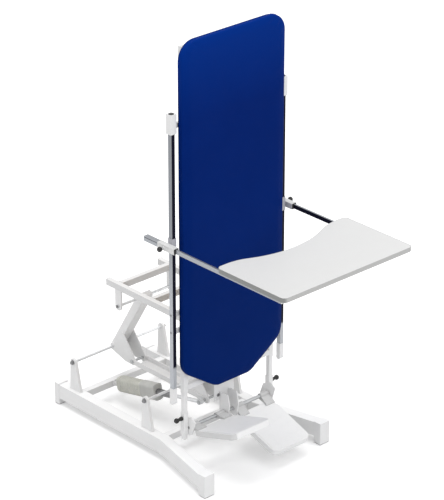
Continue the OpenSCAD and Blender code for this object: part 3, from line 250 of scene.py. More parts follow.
def rail_metal():
    """Brushed profile, paler towards the floor as painted reflection, with dark channels of
    painted shade and pad reflection in the rails' fronts and the tray bars' inner faces, and a
    painted shade line in the bars' groove.
    """
    p = Paint("grey_rail")
    side = p.aside()
    brushed_z = p.noise(1.0, 4.0, 0.7, p.stretch(BRUSH_FINE, BRUSH_FINE, BRUSH_LONG))
    brushed_y = p.noise(1.0, 4.0, 0.7, p.stretch(BRUSH_FINE, BRUSH_LONG, BRUSH_FINE))
    on_bar = p.over(side, BARS_FROM_X)
    on_rail = p.minus(1.0, on_bar)
    brushed = p.plus(p.times(brushed_y, on_bar), p.times(brushed_z, on_rail))
    shade = p.mix(p.spread(brushed, *MID), (0.195, 0.205, 0.222), (0.265, 0.277, 0.297))
    shade = p.mix(p.times(on_bar, 0.8), shade, (0.37, 0.385, 0.41))
    # painted reflection: the rails grow paler towards the floor
    low = p.times(p.spread(p.axis("Z"), *RAIL_PAINTED_REFLECTION_Z), on_rail)
    shade = p.mix(low, shade, (0.40, 0.415, 0.44))
    # painted shade and reflection of the navy pad: the rails' front channels, the tray bars'
    # inner faces, and a line in the bars' outer groove
    front = p.under(p.axis("Y"), RAIL_CHANNEL_TO_Y)
    rail = p.times(p.band(side, *RAIL_CHANNEL_X), front)
    rail = p.times(rail, p.spread(p.axis("Z"), *RAIL_CHANNEL_FROM_Z))
    bar = p.times(p.band(side, *BAR_CHANNEL_X), p.band(p.axis("Z"), *BAR_CHANNEL_Z))
    groove = p.times(p.over(side, BAR_GROOVE_FROM_X), p.band(p.axis("Z"), *BAR_GROOVE_Z))
    pad_reflection_and_shade = p.maths("MAXIMUM", rail, p.maths("MAXIMUM", bar, p.times(groove, 0.75)))
    shade = p.mix(pad_reflection_and_shade, shade, (0.0025, 0.0028, 0.012))
    rough = p.plus(p.spread(brushed, 0.2, 0.8, 0.34, 0.50), p.times(pad_reflection_and_shade, 0.25))
    p.relief(brushed, 0.00008, 0.4, 0.0008)
    metal = p.minus(0.8, p.times(pad_reflection_and_shade, 0.8))
    return p.set(Base_Color=shade, Metallic=metal, Roughness=rough, Specular_IOR_Level=0.12)


SLIDER_TO_X = 0.39905  # the sliders lie within this, their bar sleeves beyond it


def slide_paint():
    """The carriage: white sleeves on grey sliders."""
    p = Paint("slide_paint")
    drift = p.spread(p.noise(6.0, 4.0), 0.35, 0.7)
    white = p.mix(drift, (0.70, 0.70, 0.695), (0.65, 0.655, 0.655))
    slider = p.mix(drift, (0.44, 0.44, 0.475), (0.38, 0.38, 0.415))
    colour = p.mix(p.under(p.aside(), SLIDER_TO_X), white, slider)
    colour = p.mix(p.times(p.edges(), 0.25), colour, WORN_PAINT)
    return coated(p, colour, 0.36, 0.50)


def turned_metal(name, dark, light, rough):
    """Steel with fine drawn lines along x and a few stains."""
    p = Paint(name)
    lines = p.noise(1.0, 4.0, 0.7, p.stretch(14, 900, 900))
    stain = p.noise(30.0, 5.0)
    colour = p.mix(p.spread(lines, *MID), dark, light)
    colour = p.mix(p.spread(stain, 0.56, 0.8, 0, 0.5), colour, tinted(dark, 0.55))
    colour = p.mix(p.times(p.edges(), 0.5), colour, tinted(light, 1.5))
    p.relief(lines, 0.0001, 0.35, 0.0006)
    roughness = p.spread(stain, *MID, rough - 0.06, rough + 0.1)
    return p.set(Base_Color=colour, Metallic=0.9, Roughness=roughness)


def rubber():
    p = Paint("rubber")
    dust = p.spread(p.noise(60.0, 5.0), 0.4, 0.75)
    colour = p.mix(dust, (0.018, 0.018, 0.019), (0.05, 0.049, 0.047))
    p.relief(p.noise(900.0, 3.0), 0.0003, 0.6, 0.001)
    return p.set(Base_Color=colour, Roughness=0.78, Specular_IOR_Level=0.3)


def edge_banding():
    """The tray's plastic edge: pale along the front, with painted shade along the sides."""
    p = Paint("tray_band")
    speck = p.spread(p.noise(420.0, 3.0), 0.35, 0.65)
    front = p.mix(speck, (0.43, 0.43, 0.425), (0.48, 0.48, 0.47))
    side = p.mix(speck, (0.235, 0.24, 0.235), (0.275, 0.28, 0.272))
    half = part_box("tray_board")[1].x
    # painted shade: the band turns darker where it runs along the tray's sides
    painted_shade_ends = p.spread(p.aside(), half - 0.022, half - 0.008)
    colour = p.mix(painted_shade_ends, front, side)
    p.relief(p.noise(900.0, 2.0), 0.00010, 0.4, 0.0006)
    rough = p.spread(p.noise(60.0, 3.0), *MID, 0.40, 0.52)
    return p.set(Base_Color=colour, Roughness=rough, Specular_IOR_Level=0.2)


def moulded(name, dark, light, rough):
    """Moulded plastic with a fine leather grain, rubbed pale along its edges."""
    p = Paint(name)
    colour = p.mix(p.spread(p.noise(18.0, 4.0), *MID), dark, light)
    colour = p.mix(p.times(p.edges(), 0.35), colour, tinted(light, 1.5, 0.01))
    p.relief(p.cells(1100.0), 0.00022, 0.45, 0.0008)
    roughness = p.spread(p.noise(90.0, 3.0), *MID, rough - 0.05, rough + 0.09)
    return p.set(Base_Color=colour, Roughness=roughness, Specular_IOR_Level=0.35)


HEAD_SHEEN_Z = (2.0, 2.4)  # painted sheen: the cover grows lighter over this height
FOOT_SHADE_Z = (0.7, 2.1)  # and painted shade darkens it down this one


def vinyl():
    """Blue upholstery vinyl with a fine crease pattern, painted shade in its creases, a painted
    sheen towards the head and painted shade towards the foot.
    """
    p = Paint("vinyl")
    creases = p.cells(620.0, "DISTANCE_TO_EDGE")
    pores = p.noise(1500.0, 3.0)
    drift = p.spread(p.noise(4.0, 4.0), 0.3, 0.72)
    colour = p.mix(drift, (0.0004, 0.0158, 0.145), (0.0008, 0.0188, 0.166))
    # painted shade in the creases
    colour = p.mix(p.spread(creases, 0.0, 0.12), (0.0003, 0.009, 0.100), colour)
    # painted sheen: lighter towards the head
    head = p.spread(p.axis("Z"), *HEAD_SHEEN_Z, 0.0, 0.8)
    colour = p.mix(head, colour, (0.0010, 0.0275, 0.225))
    # painted shade: darker towards the foot
    foot = p.minus(1.0, p.spread(p.axis("Z"), *FOOT_SHADE_Z))
    colour = p.mix(p.times(foot, 0.5), colour, (0.0012, 0.0145, 0.095))
    roughness = p.spread(p.noise(11.0, 5.0), 0.5, 0.75, 0.52, 0.42)
    height = p.plus(p.spread(creases, 0.0, 0.25), p.times(pores, 0.35))
    p.relief(height, 0.00022, 0.55)
    return p.set(Base_Color=colour, Roughness=roughness, Specular_IOR_Level=0.015)


PLY = 0.0027  # the thickness of one layer


def plywood():
    """Birch plywood with its grain up the couch; the layers show in the gloss of its edges."""
    p = Paint("plywood")
    grain = p.noise(1.0, 6.0, 0.65, p.stretch(70, 400, 3))
    rings = p.noise(1.0, 3.0, 0.5, p.stretch(9, 60, 0.9))
    colour = p.mix(p.spread(rings, *MID), (0.46, 0.31, 0.17), (0.60, 0.43, 0.26))
    colour = p.mix(p.spread(grain, 0.52, 0.7, 0, 0.55), colour, (0.30, 0.18, 0.09))
    layer = p.maths("SINE", p.times(p.axis("Y"), TAU / PLY))
    p.relief(grain, 0.0002, 0.5)
    return p.set(Base_Color=colour, Roughness=p.spread(layer, -1, 1, 0.62, 0.72))


def laminate(name, pale, speck, rough):
    p = Paint(name)
    fleck = p.spread(p.cells(420.0), 0.12, 0.30)
    colour = p.mix(fleck, speck, pale)
    colour = p.mix(p.spread(p.noise(3.0, 4.0), 0.4, 0.75, 0, 0.35), colour, speck)
    p.relief(p.noise(1400.0, 2.0), 0.00006, 0.4, 0.0007)
    smear = p.spread(p.noise(22.0, 4.0), *MID, rough - 0.05, rough + 0.08)
    return p.set(Base_Color=colour, Roughness=smear, Specular_IOR_Level=0.3)


TREAD_PITCH = 0.008
NEAR_PLATE_TO_X = -0.01  # the left footplate lies beyond this


def footboard():
    """The footplates: ribbed, scuffed, and with painted shade on the left one's outer side."""
    p = Paint("footplate_board")
    ribs = p.maths("SINE", p.times(p.axis("X"), TAU / TREAD_PITCH))
    tread = p.spread(ribs, -0.2, 0.5)
    scuff = p.spread(p.noise(26.0, 5.0), 0.5, 0.8, 0, 0.45)
    colour = p.mix(scuff, grey(0.84), grey(0.78))
    # painted shade on the faces of the left footplate that look outwards
    outer = p.times(p.under(p.axis("X"), NEAR_PLATE_TO_X), p.facing("X", -0.25, -0.45))
    colour = p.mix(outer, colour, grey(0.62))
    colour = p.mix(p.times(p.edges(), 0.2), colour, grey(0.64))
    p.relief(p.plus(tread, p.times(p.noise(900.0), 0.3)), 0.0003, 0.35, 0.001)
    return p.set(Base_Color=colour, Roughness=0.52, Specular_IOR_Level=0.3)


def weld_metal():
    p = Paint("weld")
    drift = p.spread(p.noise(300.0, 4.0), 0.4, 0.7)
    colour = p.mix(drift, (0.78, 0.78, 0.775), grey(0.66))
    p.relief(p.noise(500.0, 3.0), 0.0003, 0.5)
    return p.set(Base_Color=colour, Roughness=0.42, Specular_IOR_Level=0.3)


def plain_name(material):
    """A material's name without the number that Blender adds to a second one."""
    return material.name.split(".")[0]


MATERIALS = {
    plain_name(made): made
    for made in (
        powder_coat("white_paint", (0.82, 0.78), (0.79, 0.74)),
        rail_metal(),
        turned_metal("steel", (0.40, 0.41, 0.42), (0.55, 0.56, 0.57), 0.42),
        turned_metal("dark_steel", (0.17, 0.17, 0.175), (0.28, 0.28, 0.285), 0.40),
        rubber(),
        moulded("black_plastic", (0.010, 0.010, 0.010), (0.020, 0.020, 0.021), 0.38),
        moulded("motor_plastic", (0.52, 0.52, 0.47), (0.62, 0.62, 0.57), 0.50),
        moulded("gear_plastic", (0.47, 0.47, 0.45), (0.55, 0.55, 0.53), 0.46),
        moulded("white_plastic", (0.78, 0.78, 0.77), (0.84, 0.84, 0.83), 0.42),
        vinyl(),
        plywood(),
        laminate("tray_laminate", (0.69, 0.69, 0.68), (0.655, 0.655, 0.645), 0.42),
        edge_banding(),
        footboard(),
        weld_metal(),
        slide_paint(),
        # painted light: base_paint is white paint with paler tops; frame_paint has darker sides
        # as painted shade
        powder_coat("base_paint", (0.93, 0.89), (0.79, 0.75)),
        powder_coat("frame_paint", (0.84, 0.80), (0.68, 0.63)),
        powder_coat("hinge_paint", (0.58, 0.53), (0.50, 0.46)),
        turned_metal("shaft", (0.66, 0.67, 0.68), (0.78, 0.79, 0.80), 0.45),
    )
}
REPAINTED = {
    "slide_paint": ("tray_slides",),
    "base_paint": ("base_rails", "base_feet", "base_cross_tubes"),
    "frame_paint": ("upper_side_tubes", "upper_cross_tubes"),
    "hinge_paint": ("left_footplate_hinge", "right_footplate_hinge"),
    "shaft": ("pivot_shafts", "link_shafts", "lift_rod"),
}


def dress_nodes():
    """Gives each CAD node the material its slot names, and some nodes a tone of their own; the
    base's paler tops and the upper tubes' darker sides are painted light and shade.
    """
    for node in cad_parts.values():
        slots = [plain_name(m) for m in node.data.materials]
        for i, slot in enumerate(slots):
            node.data.materials[i] = MATERIALS[slot]
    for paint, names in REPAINTED.items():
        for name in names:
            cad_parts[name].data.materials[0] = MATERIALS[paint]


# ---------------------------------------------------------------- mesh tools
ROUND = 32  # sides of a turned form
SHARP = 38  # degrees; flatter edges are shaded smooth
CHAMFER_RISE = 0.6  # a hexagon's chamfer rises by this share of its width
BEAD_SIDES = 7
BEAD_RIPPLE = 0.16  # of the bead's radius
BEAD_TURN = 2.4  # radians of ripple from ring to ring


def frame_of(direction):
    """The unit vector of a direction, and two more square to it."""
    d = Vector(direction).normalized()
    other = Vector((0, 0, 1)) if abs(d.z) < 0.9 else Vector((0, 1, 0))
    side = d.cross(other).normalized()
    return d, side, d.cross(side)


class Solid:
    """Collects simple forms in one mesh, all in the row frame."""

    def __init__(self):
        self.bm = bmesh.new()

    def ring(self, centre, side, up, radius, count, turn=0.0, flute=0.0, lobes=0):
        """Points around a centre; turn: in steps of the ring; flute: the lobes' depth share."""
        verts = []
        for i in range(count):
            a = TAU * (i + turn) / count
            r = radius * (1 - flute * (0.5 + 0.5 * math.cos(lobes * a)))
            spot = centre + side * r * math.cos(a) + up * r * math.sin(a)
            verts.append(self.bm.verts.new(spot))
        return verts

    def skin(self, rings, closed=False):
        """Faces from ring to ring, and back to the first or over both ends."""
        pairs = list(zip(rings, rings[1:]))
        if closed:
            pairs.append((rings[-1], rings[0]))
        for a, b in pairs:
            n = len(a)
            for i in range(n):
                self.bm.faces.new((a[i], a[(i + 1) % n], b[(i + 1) % n], b[i]))
        if not closed:
            self.bm.faces.new(list(reversed(rings[0])))
            self.bm.faces.new(rings[-1])

    def lathe(self, origin, direction, profile, count=ROUND, flutes=(0.0, 0)):
        """profile: (height, radius) along the direction; flutes: (depth share, lobes)."""
        d, side, up = frame_of(direction)
        rings = []
        last = len(profile) - 1
        for i, (h, r) in enumerate(profile):
            depth, lobes = flutes if 0 < i < last else (0.0, 0)
            centre = origin + d * h / 1000
            rings.append(self.ring(centre, side, up, r / 1000, count, 0, depth, lobes))
        self.skin(rings)

    def sleeve(self, origin, direction, profile, bore):
        """A turned ring with a bore through it."""
        d, side, up = frame_of(direction)
        whole = list(profile) + [(profile[-1][0], bore), (profile[0][0], bore)]
        rings = [self.ring(origin + d * h / 1000, side, up, r / 1000, ROUND) for h, r in whole]
        self.skin(rings, closed=True)

    def hexagon(self, origin, direction, across, height, turn, chamfer=0.8):
        """A hexagon head or nut, by its width across the flats."""
        r = across / math.sqrt(3)
        d, side, up = frame_of(direction)
        rise = chamfer * CHAMFER_RISE
        rows = [(0, r - chamfer), (rise, r), (height - rise, r), (height, r - chamfer)]
        rings = [self.ring(origin + d * h / 1000, side, up, q / 1000, 6, turn) for h, q in rows]
        self.skin(rings)

    def block(self, low, high, bevel, turn=None, about=None):
        """A box between two corners, its edges rounded, and turned about a point if asked."""
        made = bmesh.ops.create_cube(self.bm, size=1)["verts"]
        low, high = Vector(low), Vector(high)
        size, centre = high - low, (high + low) / 2
        for v in made:
            v.co = Vector((v.co.x * size.x, v.co.y * size.y, v.co.z * size.z)) + centre
        edges = {e for v in made for e in v.link_edges}
        cut = bmesh.ops.bevel(self.bm, geom=list(edges), offset=bevel / 1000, segments=3,
                              affect="EDGES", profile=0.5)
        rounded = {v for f in cut["faces"] for v in f.verts}
        made = list(rounded | {v for v in made if v.is_valid})
        if turn is not None:
            bmesh.ops.rotate(self.bm, verts=made, cent=about, matrix=turn)

    def end_block(self, low, high, axis, start, end, margin, bevel):
        """A block on a tube's end, a margin within its outline, from start to end on the axis."""
        a = [c + margin for c in low]
        b = [c - margin for c in high]
        a[axis], b[axis] = sorted((start, end))
        self.block(a, b, bevel)

    def bead(self, points, radius, step):
        """A weld bead: a rope of small overlapping ripples along a closed path."""
        path = [Vector(p) for p in points]
        path.append(path[0])
        spots = []
        for a, b in zip(path, path[1:]):
            count = max(2, round((b - a).length * 1000 / step))
            spots += [a.lerp(b, i / count) for i in range(count)]
        rings = []
        n = len(spots)
        for i, spot in enumerate(spots):
            d, side, up = frame_of(spots[(i + 1) % n] - spots[i - 1])
            r = radius * (1.0 + BEAD_RIPPLE * math.sin(i * BEAD_TURN)) / 1000
            rings.append(self.ring(spot, side, up, r, BEAD_SIDES))
        self.skin(rings, closed=True)

    def piece(self, name, body, slot, replaces=(), angle=SHARP, material=None):
        """Makes the collected forms one piece of the scene."""
        bmesh.ops.recalc_face_normals(self.bm, faces=self.bm.faces)
        mesh = bpy.data.meshes.new(name)
        self.bm.to_mesh(mesh)
        self.bm.free()
        place(name, mesh, body, slot, replaces, angle, material)


def link_object(name, data):
    made = bpy.data.objects.new(name, data)
    bpy.context.scene.collection.objects.link(made)
    return made


def place(name, mesh, body, slot, replaces=(), angle=SHARP, material=None):
    """Puts a mesh in the scene as a piece that rides on a body."""
    mesh.materials.clear()
    mesh.materials.append(material or MATERIALS[slot])
    mesh.shade_smooth()
    mesh.set_sharp_from_angle(angle=math.radians(angle))
    made = link_object(name, mesh)
    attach(made, body)
    if replaces:
        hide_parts(*replaces)
    return made


def solids(node):
    """The box of each separate solid of a CAD node, lowest corner first."""
    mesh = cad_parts[node].data
    lead = list(range(len(mesh.vertices)))
    spots = {}

    def find(i):
        while lead[i] != i:
            lead[i] = lead[lead[i]]
            i = lead[i]
        return i

    for v in mesh.vertices:
        key = tuple(round(c, 5) for c in v.co)
        if key in spots:
            lead[find(v.index)] = find(spots[key])
        else:
            spots[key] = v.index
    for e in mesh.edges:
        a, b = e.vertices
        lead[find(a)] = find(b)
    groups = {}
    for v in mesh.vertices:
        groups.setdefault(find(v.index), []).append(v.co)
    boxes = []
    for points in groups.values():
        low = Vector([min(p[k] for p in points) for k in range(3)])
        high = Vector([max(p[k] for p in points) for k in range(3)])
        boxes.append((low, high))
    return sorted(boxes, key=lambda b: tuple(b[0]))


def pin_ends(low, high):
    """The middle of a box's left and right end, each with the side it looks to."""
    y, z = (low.y + high.y) / 2, (low.z + high.z) / 2
    return (Vector((low.x, y, z)), -1), (Vector((high.x, y, z)), 1)


def around_x(x, low, high):
    """Corner points of a tube's end face at x."""
    return [Vector((x, low.y, low.z)), Vector((x, high.y, low.z)),
            Vector((x, high.y, high.z)), Vector((x, low.y, high.z))]


# ---------------------------------------------------------------- the pad
VOXEL, QUICK_VOXEL = 0.006, 0.008
SAME_POINT = 0.00002
HELD_DEPTH = 0.004  # the cushion's back layer, which the board holds
MOST_SWELL = 0.004
CLOTH_FRAMES = 20
CLOTH = {
    "quality": 4,
    "mass": 0.35,
    "tension_stiffness": 30,
    "compression_stiffness": 30,
    "shear_stiffness": 12,
    "bending_stiffness": 2.0,
    "use_pressure": True,
    "uniform_pressure_force": 4.0,
    "vertex_group_mass": "held",
}
COVER_MORE = (0.0012, 0.0, 0.002)  # how far the cover stands proud of the CAD box
FLARE, FLARE_FROM, FLARE_OVER = 0.016, 1.2, 1.2  # the cover widens towards the head


def apply_modifiers(made):
    graph = bpy.context.evaluated_depsgraph_get()
    mesh = bpy.data.meshes.new_from_object(made.evaluated_get(graph))
    made.modifiers.clear()
    made.data = mesh


def stretch_to(mesh, box, more):
    """Scales a mesh to a box grown by some metres on each side."""
    for axis in range(3):
        now = [v.co[axis] for v in mesh.vertices]
        low, high = min(now), max(now)
        to_low, to_high = box[0][axis] - more[axis], box[1][axis] + more[axis]
        for v in mesh.vertices:
            v.co[axis] = to_low + (v.co[axis] - low) * (to_high - to_low) / (high - low)


def swell(made):
    """Blows a closed form up a little as cloth, with its back held."""
    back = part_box("pad")[1].y
    rest = [v.co.copy() for v in made.data.vertices]
    held = made.vertex_groups.new(name="held")
    held.add([i for i, p in enumerate(rest) if p.y > back - HELD_DEPTH], 1.0, "REPLACE")
    cloth = made.modifiers.new("cloth", "CLOTH")
    for key, value in CLOTH.items():
        setattr(cloth.settings, key, value)
    cloth.settings.effector_weights.gravity = 0
    cloth.collision_settings.use_collision = False
    cloth.collision_settings.use_self_collision = False
    cloth.point_cache.frame_start = 1
    cloth.point_cache.frame_end = CLOTH_FRAMES
    scene = bpy.context.scene
    for number in range(1, CLOTH_FRAMES + 1):
        scene.frame_set(number)
    apply_modifiers(made)
    scene.frame_set(1)
    for v, p in zip(made.data.vertices, rest):
        move = v.co - p
        if move.length > MOST_SWELL:
            v.co = p + move * (MOST_SWELL / move.length)


def pad_cover():
    """The vinyl cushion: the CAD form remeshed and blown up a little by cloth pressure."""
    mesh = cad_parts["pad"].data.copy()
    made = link_object("pad_shape", mesh)
    bm = bmesh.new()
    bm.from_mesh(mesh)
    bmesh.ops.remove_doubles(bm, verts=bm.verts, dist=SAME_POINT)
    bm.to_mesh(mesh)
    bm.free()
    remesh = made.modifiers.new("remesh", "REMESH")
    remesh.mode = "VOXEL"
    remesh.voxel_size = VOXEL
    apply_modifiers(made)
    swell(made)
    smooth = made.modifiers.new("smooth", "SMOOTH")
    smooth.factor = 0.5
    smooth.iterations = 2
    apply_modifiers(made)
    mesh = made.data
    bpy.data.objects.remove(made)
    mesh.name = "pad_cover"
    stretch_to(mesh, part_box("pad"), COVER_MORE)
    for v in mesh.vertices:
        v.co.x *= 1 + FLARE * max(0.0, v.co.z - FLARE_FROM) / FLARE_OVER
    cover = place("pad_cover", mesh, "couch", "vinyl", ["pad"], 180)


def outline_of(node, y, inset):
    """The outer outline of a flat CAD node, drawn in by some millimetres."""
    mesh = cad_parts[node].data
    points = {(round(v.co.x, 5), round(v.co.z, 5)) for v in mesh.vertices}
    centre = Vector((0.0, PAD_MIDDLE_Z))
    ordered = sorted(points, key=lambda p: math.atan2(p[1] - centre.y, p[0] - centre.x))
    line = [Vector(p) for p in ordered]
    out = []
    n = len(line)
    for i, p in enumerate(line):
        t = (line[(i + 1) % n] - line[i - 1]).normalized()
        normal = Vector((-t.y, t.x))
        if normal.dot(centre - p) < 0:
            normal.negate()
        q = p + normal * inset / 1000
        out.append(Vector((q.x, y, q.y)))
    return out


def even(points, step):
    """The same closed line with points every step metres."""
    line = points + [points[0]]
    out, left = [], 0.0
    for a, b in zip(line, line[1:]):
        length = (b - a).length
        while left < length:
            out.append(a.lerp(b, left / length))
            left += step
        left -= length
    return out


# The fold's section, from the cover's side over the board's edge to its back: millimetres
# inwards from the board's outline and behind its back.
FOLD_START = ((-3.0, -15.0), (-4.0, -9.0), (-4.1, -1.6), (-3.0, 0.3), (-0.5, 0.7), (6, 0.4))
FOLD_REACH = 36
FOLD_ROWS = len(FOLD_START) + 2
FOLD_STEP = 0.012
FOLD_GAP, FOLD_THICK = 0.0009, 0.0007
STAPLE_INSET, STAPLE_STEP = 22.0, 0.05
STAPLE_LOW = Vector((-0.005, 0.0016, -0.0005))
STAPLE_HIGH = Vector((0.005, 0.0024, 0.0005))


def pad_wrap():
    """The cover's edge, folded over the board's back and stapled."""
    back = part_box("pad_board")[1].y
    outer = even(outline_of("pad_board", back + FOLD_GAP, 0.0), FOLD_STEP)
    solid = Solid()
    rows = [[] for _ in range(FOLD_ROWS)]
    n = len(outer)
    for i, p in enumerate(outer):
        t = (outer[(i + 1) % n] - outer[i - 1]).normalized()
        inward = Vector((-t.z, 0, t.x))
        if inward.dot(Vector((0, p.y, PAD_MIDDLE_Z)) - p) < 0:
            inward.negate()
        # the fold's width and its puckers waver by a millimetre or two
        reach = FOLD_REACH + 1.6 * math.sin(i * 0.9) + 1.1 * math.sin(i * 2.3 + 1)
        pucker = 0.1 + 0.125 * math.sin(i * 1.7)
        spots = (*FOLD_START, (20, pucker), (reach, 0.15))
        for row, (inset, lift) in zip(rows, spots):
            q = p + inward * inset / 1000 + Vector((0, lift / 1000, 0))
            row.append(solid.bm.verts.new(q))
    for a, b in zip(rows, rows[1:]):
        for i in range(n):
            solid.bm.faces.new((a[i], a[(i + 1) % n], b[(i + 1) % n], b[i]))
    bmesh.ops.solidify(solid.bm, geom=solid.bm.faces[:], thickness=FOLD_THICK)
    solid.piece("pad_wrap", "couch", "vinyl", angle=60)
    staples = Solid()
    line = even(outline_of("pad_board", back, STAPLE_INSET), STAPLE_STEP)
    for i, p in enumerate(line):
        t = (line[(i + 1) % len(line)] - p).normalized()
        spin = Matrix.Rotation(math.atan2(-t.z, t.x), 3, "Y")
        staples.block(p + STAPLE_LOW, p + STAPLE_HIGH, 0.25, spin, p)
    staples.piece("wrap_staples", "couch", "steel")


# ---------------------------------------------------------------- fixings
# Profiles are (height, radius) in millimetres, from the face they sit on outwards.
CAP = [(-0.2, 14.6), (0.4, 15.0), (1.2, 14.6), (1.5, 13.2), (1.2, 3.0)]
WASHER = [(0, 12.6), (0.3, 13), (1.7, 13), (2, 12.6)]
THIN_WASHER = [(0, 9), (0.2, 9.3), (1.2, 9.3), (1.4, 9)]
TRAY_SCREW = [(0, 4.6), (0.9, 4.6), (1, 4.2), (2.2, 4), (3, 3), (3, 2), (1.6, 1.7)]
CASE_SCREW = [(0, 4.2), (1.8, 4.0), (2.6, 3.0), (2.6, 1.9), (1.2, 1.7)]
SIDE_SCREW = [(0, 3.6), (1.2, 3.4), (1.8, 2.4), (0.8, 1.6)]
PLATE_SCREW = [(-3, 5.4), (0.6, 5.4), (1.6, 4.8), (2.2, 3.6), (2.2, 2.3), (0.8, 2.0)]
RAIL_BOLT = [(0, 6.4), (0.8, 6.2), (2.4, 5.0), (3.2, 3.4), (3.2, 2.4), (1.2, 2.1)]
COLLAR = [(0, 10.6), (0.8, 11.4), (11.5, 11.4), (14.2, 10.2), (15, 9.2)]
LIFT_WIPER = [(0, 19.3), (0.8, 20.4), (7.2, 20.4), (8.6, 18.2), (9.6, 13)]
TILT_WIPER = [(0, 17.2), (0.8, 18.2), (5.4, 18.2), (6.6, 16), (7.6, 11)]
GRIP = [(-9.5, 10.2), (-6.5, 12.9), (-3.2, 14.1), (0, 14.5), (3.2, 14.1), (6.5, 12.9),
        (9.5, 10.6), (11.6, 8.2), (12.9, 5.6), (12.5, 4.6), (12.3, 0.6)]


UPPER_SLEEVES_Z = 1.5  # the sleeves above this are sockets


def sleeve_caps():
    """Caps on the sockets of the upper rail sleeves."""
    caps = Solid()
    for low, high in solids("rail_end_sleeves"):
        if high.z > UPPER_SLEEVES_Z:
            spot = Vector(((low.x + high.x) / 2, (low.y + high.y) / 2, high.z))
            caps.lathe(spot, (0, 0, 1), CAP, 36)
    caps.piece("sleeve_caps", "couch", "black_plastic")


LINK_SHAFTS_Y, LINK_SHAFTS_Z = (950, 352), 292
TOWER_FACE_X, WASHER_FACE_X = 328.1, 330.1
THREAD_TURNS, THREAD_PITCH = 5, 1.2


def shaft_hardware():
    """A washer, a nut and a thread's end at each end of the link shafts."""
    thread = [(0, 6.9)]
    for i in range(THREAD_TURNS):
        thread += [(8.2 + i * THREAD_PITCH, 6.9), (8.7 + i * THREAD_PITCH, 6.3)]
    thread += [(14.6, 6.6), (15.4, 5.4)]
    nuts = Solid()
    for y in LINK_SHAFTS_Y:
        for side in (-1, 1):
            out = (side, 0, 0)
            face = at(side * WASHER_FACE_X, y, LINK_SHAFTS_Z)
            nuts.lathe(at(side * TOWER_FACE_X, y, LINK_SHAFTS_Z), out, WASHER)
            nuts.hexagon(face, out, 22, 8, 0.2 * side, 0.9)
            nuts.lathe(face, out, thread, 24)
    nuts.piece("shaft_hex_nuts", "base", "dark_steel", ["shaft_nuts"])


def pivot_hardware():
    heads = Solid()
    for low, high in solids("pivot_shafts"):
        for spot, side in pin_ends(low, high):
            out = (side, 0, 0)
            heads.hexagon(spot - Vector(out) * HAIR, out, 17, 5.5, 0.25)
            heads.lathe(spot, out, [(0, 5), (7.2, 5), (8, 4.2)], 20)
    heads.piece("pivot_hex_heads", "upper_frame", "dark_steel")


def hinge_hardware():
    bolts = Solid()
    for low, high in solids("couch_hinge_pins"):
        for spot, side in pin_ends(low, high):
            out = (side, 0, 0)
            bolts.hexagon(spot - Vector(out) * HAIR, out, 16, 4.5, 0.1)
    bolts.piece("hinge_bolt_heads", "upper_frame", "dark_steel")


def lever_rings(node, name, body):
    """A snap ring on each end of a lever pin, by shares of the pin's radius."""
    rings = Solid()
    for low, high in solids(node):
        r = (high.z - low.z) / 2 * 1000
        ring = [(-0.3, r * 0.55), (1.6, r * 0.55), (2.2, r * 0.42)]
        for spot, side in pin_ends(low, high):
            rings.lathe(spot, (side, 0, 0), ring, 24)
    rings.piece(name, body, "steel")


AXIS_Y, AXIS_Z = 1, 2
PLUG_FIT = 0.0003  # a plug's flange lies this far within the tube's outline
PLUG_RIB = (0.0028, 0.0036)  # where a rib or a raised field starts and ends
FRONT_PLUG, REAR_PLUG = 0.0009, 0.003  # thicknesses; the hinge lugs pass the front ones
PLUG_ROUND = 360  # the edges' rounding in millimetres, per metre of thickness
RIBS, RIB_HEIGHT, RIB_MARGIN = 4, 0.003, 0.006


def tube_plugs():
    """Flanged plugs in the tops of the couch's tubes and the ends of the upper frame's."""
    couch = Solid()
    for low, high in solids("couch_side_tubes"):
        top = high.z
        couch.end_block(low, high, AXIS_Z, top, top + 0.003, PLUG_FIT, 1.1)
        raised = [top + rise for rise in PLUG_RIB]
        couch.end_block(low, high, AXIS_Z, *raised, 0.007, 0.4)
    couch.piece("couch_tube_plugs", "couch", "white_plastic")
    upper = Solid()
    for low, high in solids("upper_side_tubes"):
        for y, side, thick in ((high.y, 1, REAR_PLUG), (low.y, -1, FRONT_PLUG)):
            end = y + side * thick
            upper.end_block(low, high, AXIS_Y, y, end, PLUG_FIT, thick * PLUG_ROUND)
        span = high.z - low.z - 2 * RIB_MARGIN - RIB_HEIGHT
        for k in range(RIBS):
            z = low.z + RIB_MARGIN + k * span / (RIBS - 1)
            upper.block((low.x + RIB_MARGIN, high.y + PLUG_RIB[0], z),
                        (high.x - RIB_MARGIN, high.y + PLUG_RIB[1], z + RIB_HEIGHT), 0.3)
    upper.piece("upper_tube_plugs", "upper_frame", "black_plastic")


def tube_beads(beads, node, inset, radius, step, tuck=0.0):
    """Beads around both ends of each tube; inset, tuck: metres from its end and its front."""
    for low, high in solids(node):
        low = Vector((low.x, low.y + tuck, low.z))
        for x, inward in ((low.x, 1), (high.x, -1)):
            beads.bead(around_x(x + inward * inset, low, high), radius, step)


def welds():
    base = Solid()
    tube_beads(base, "base_cross_tubes", 0.0008, 2.2, 2.6)
    for low, high in solids("shaft_towers"):
        z = low.z + 0.0008
        foot = [(low.x, low.y, z), (high.x, low.y, z), (high.x, high.y, z), (low.x, high.y, z)]
        base.bead(foot, 2.2, 2.6)
    base.piece("base_welds", "base", "white_paint", material=MATERIALS["weld"])
    upper = Solid()
    tube_beads(upper, "upper_cross_tubes", 0.0006, 1.7, 2.2)
    upper.piece("upper_welds", "upper_frame", "white_paint", material=MATERIALS["weld"])
    couch = Solid()
    tube_beads(couch, "couch_cross_tubes", 0.0006, 1.6, 2.2, 0.003)
    couch.piece("couch_welds", "couch", "white_paint", material=MATERIALS["weld"])


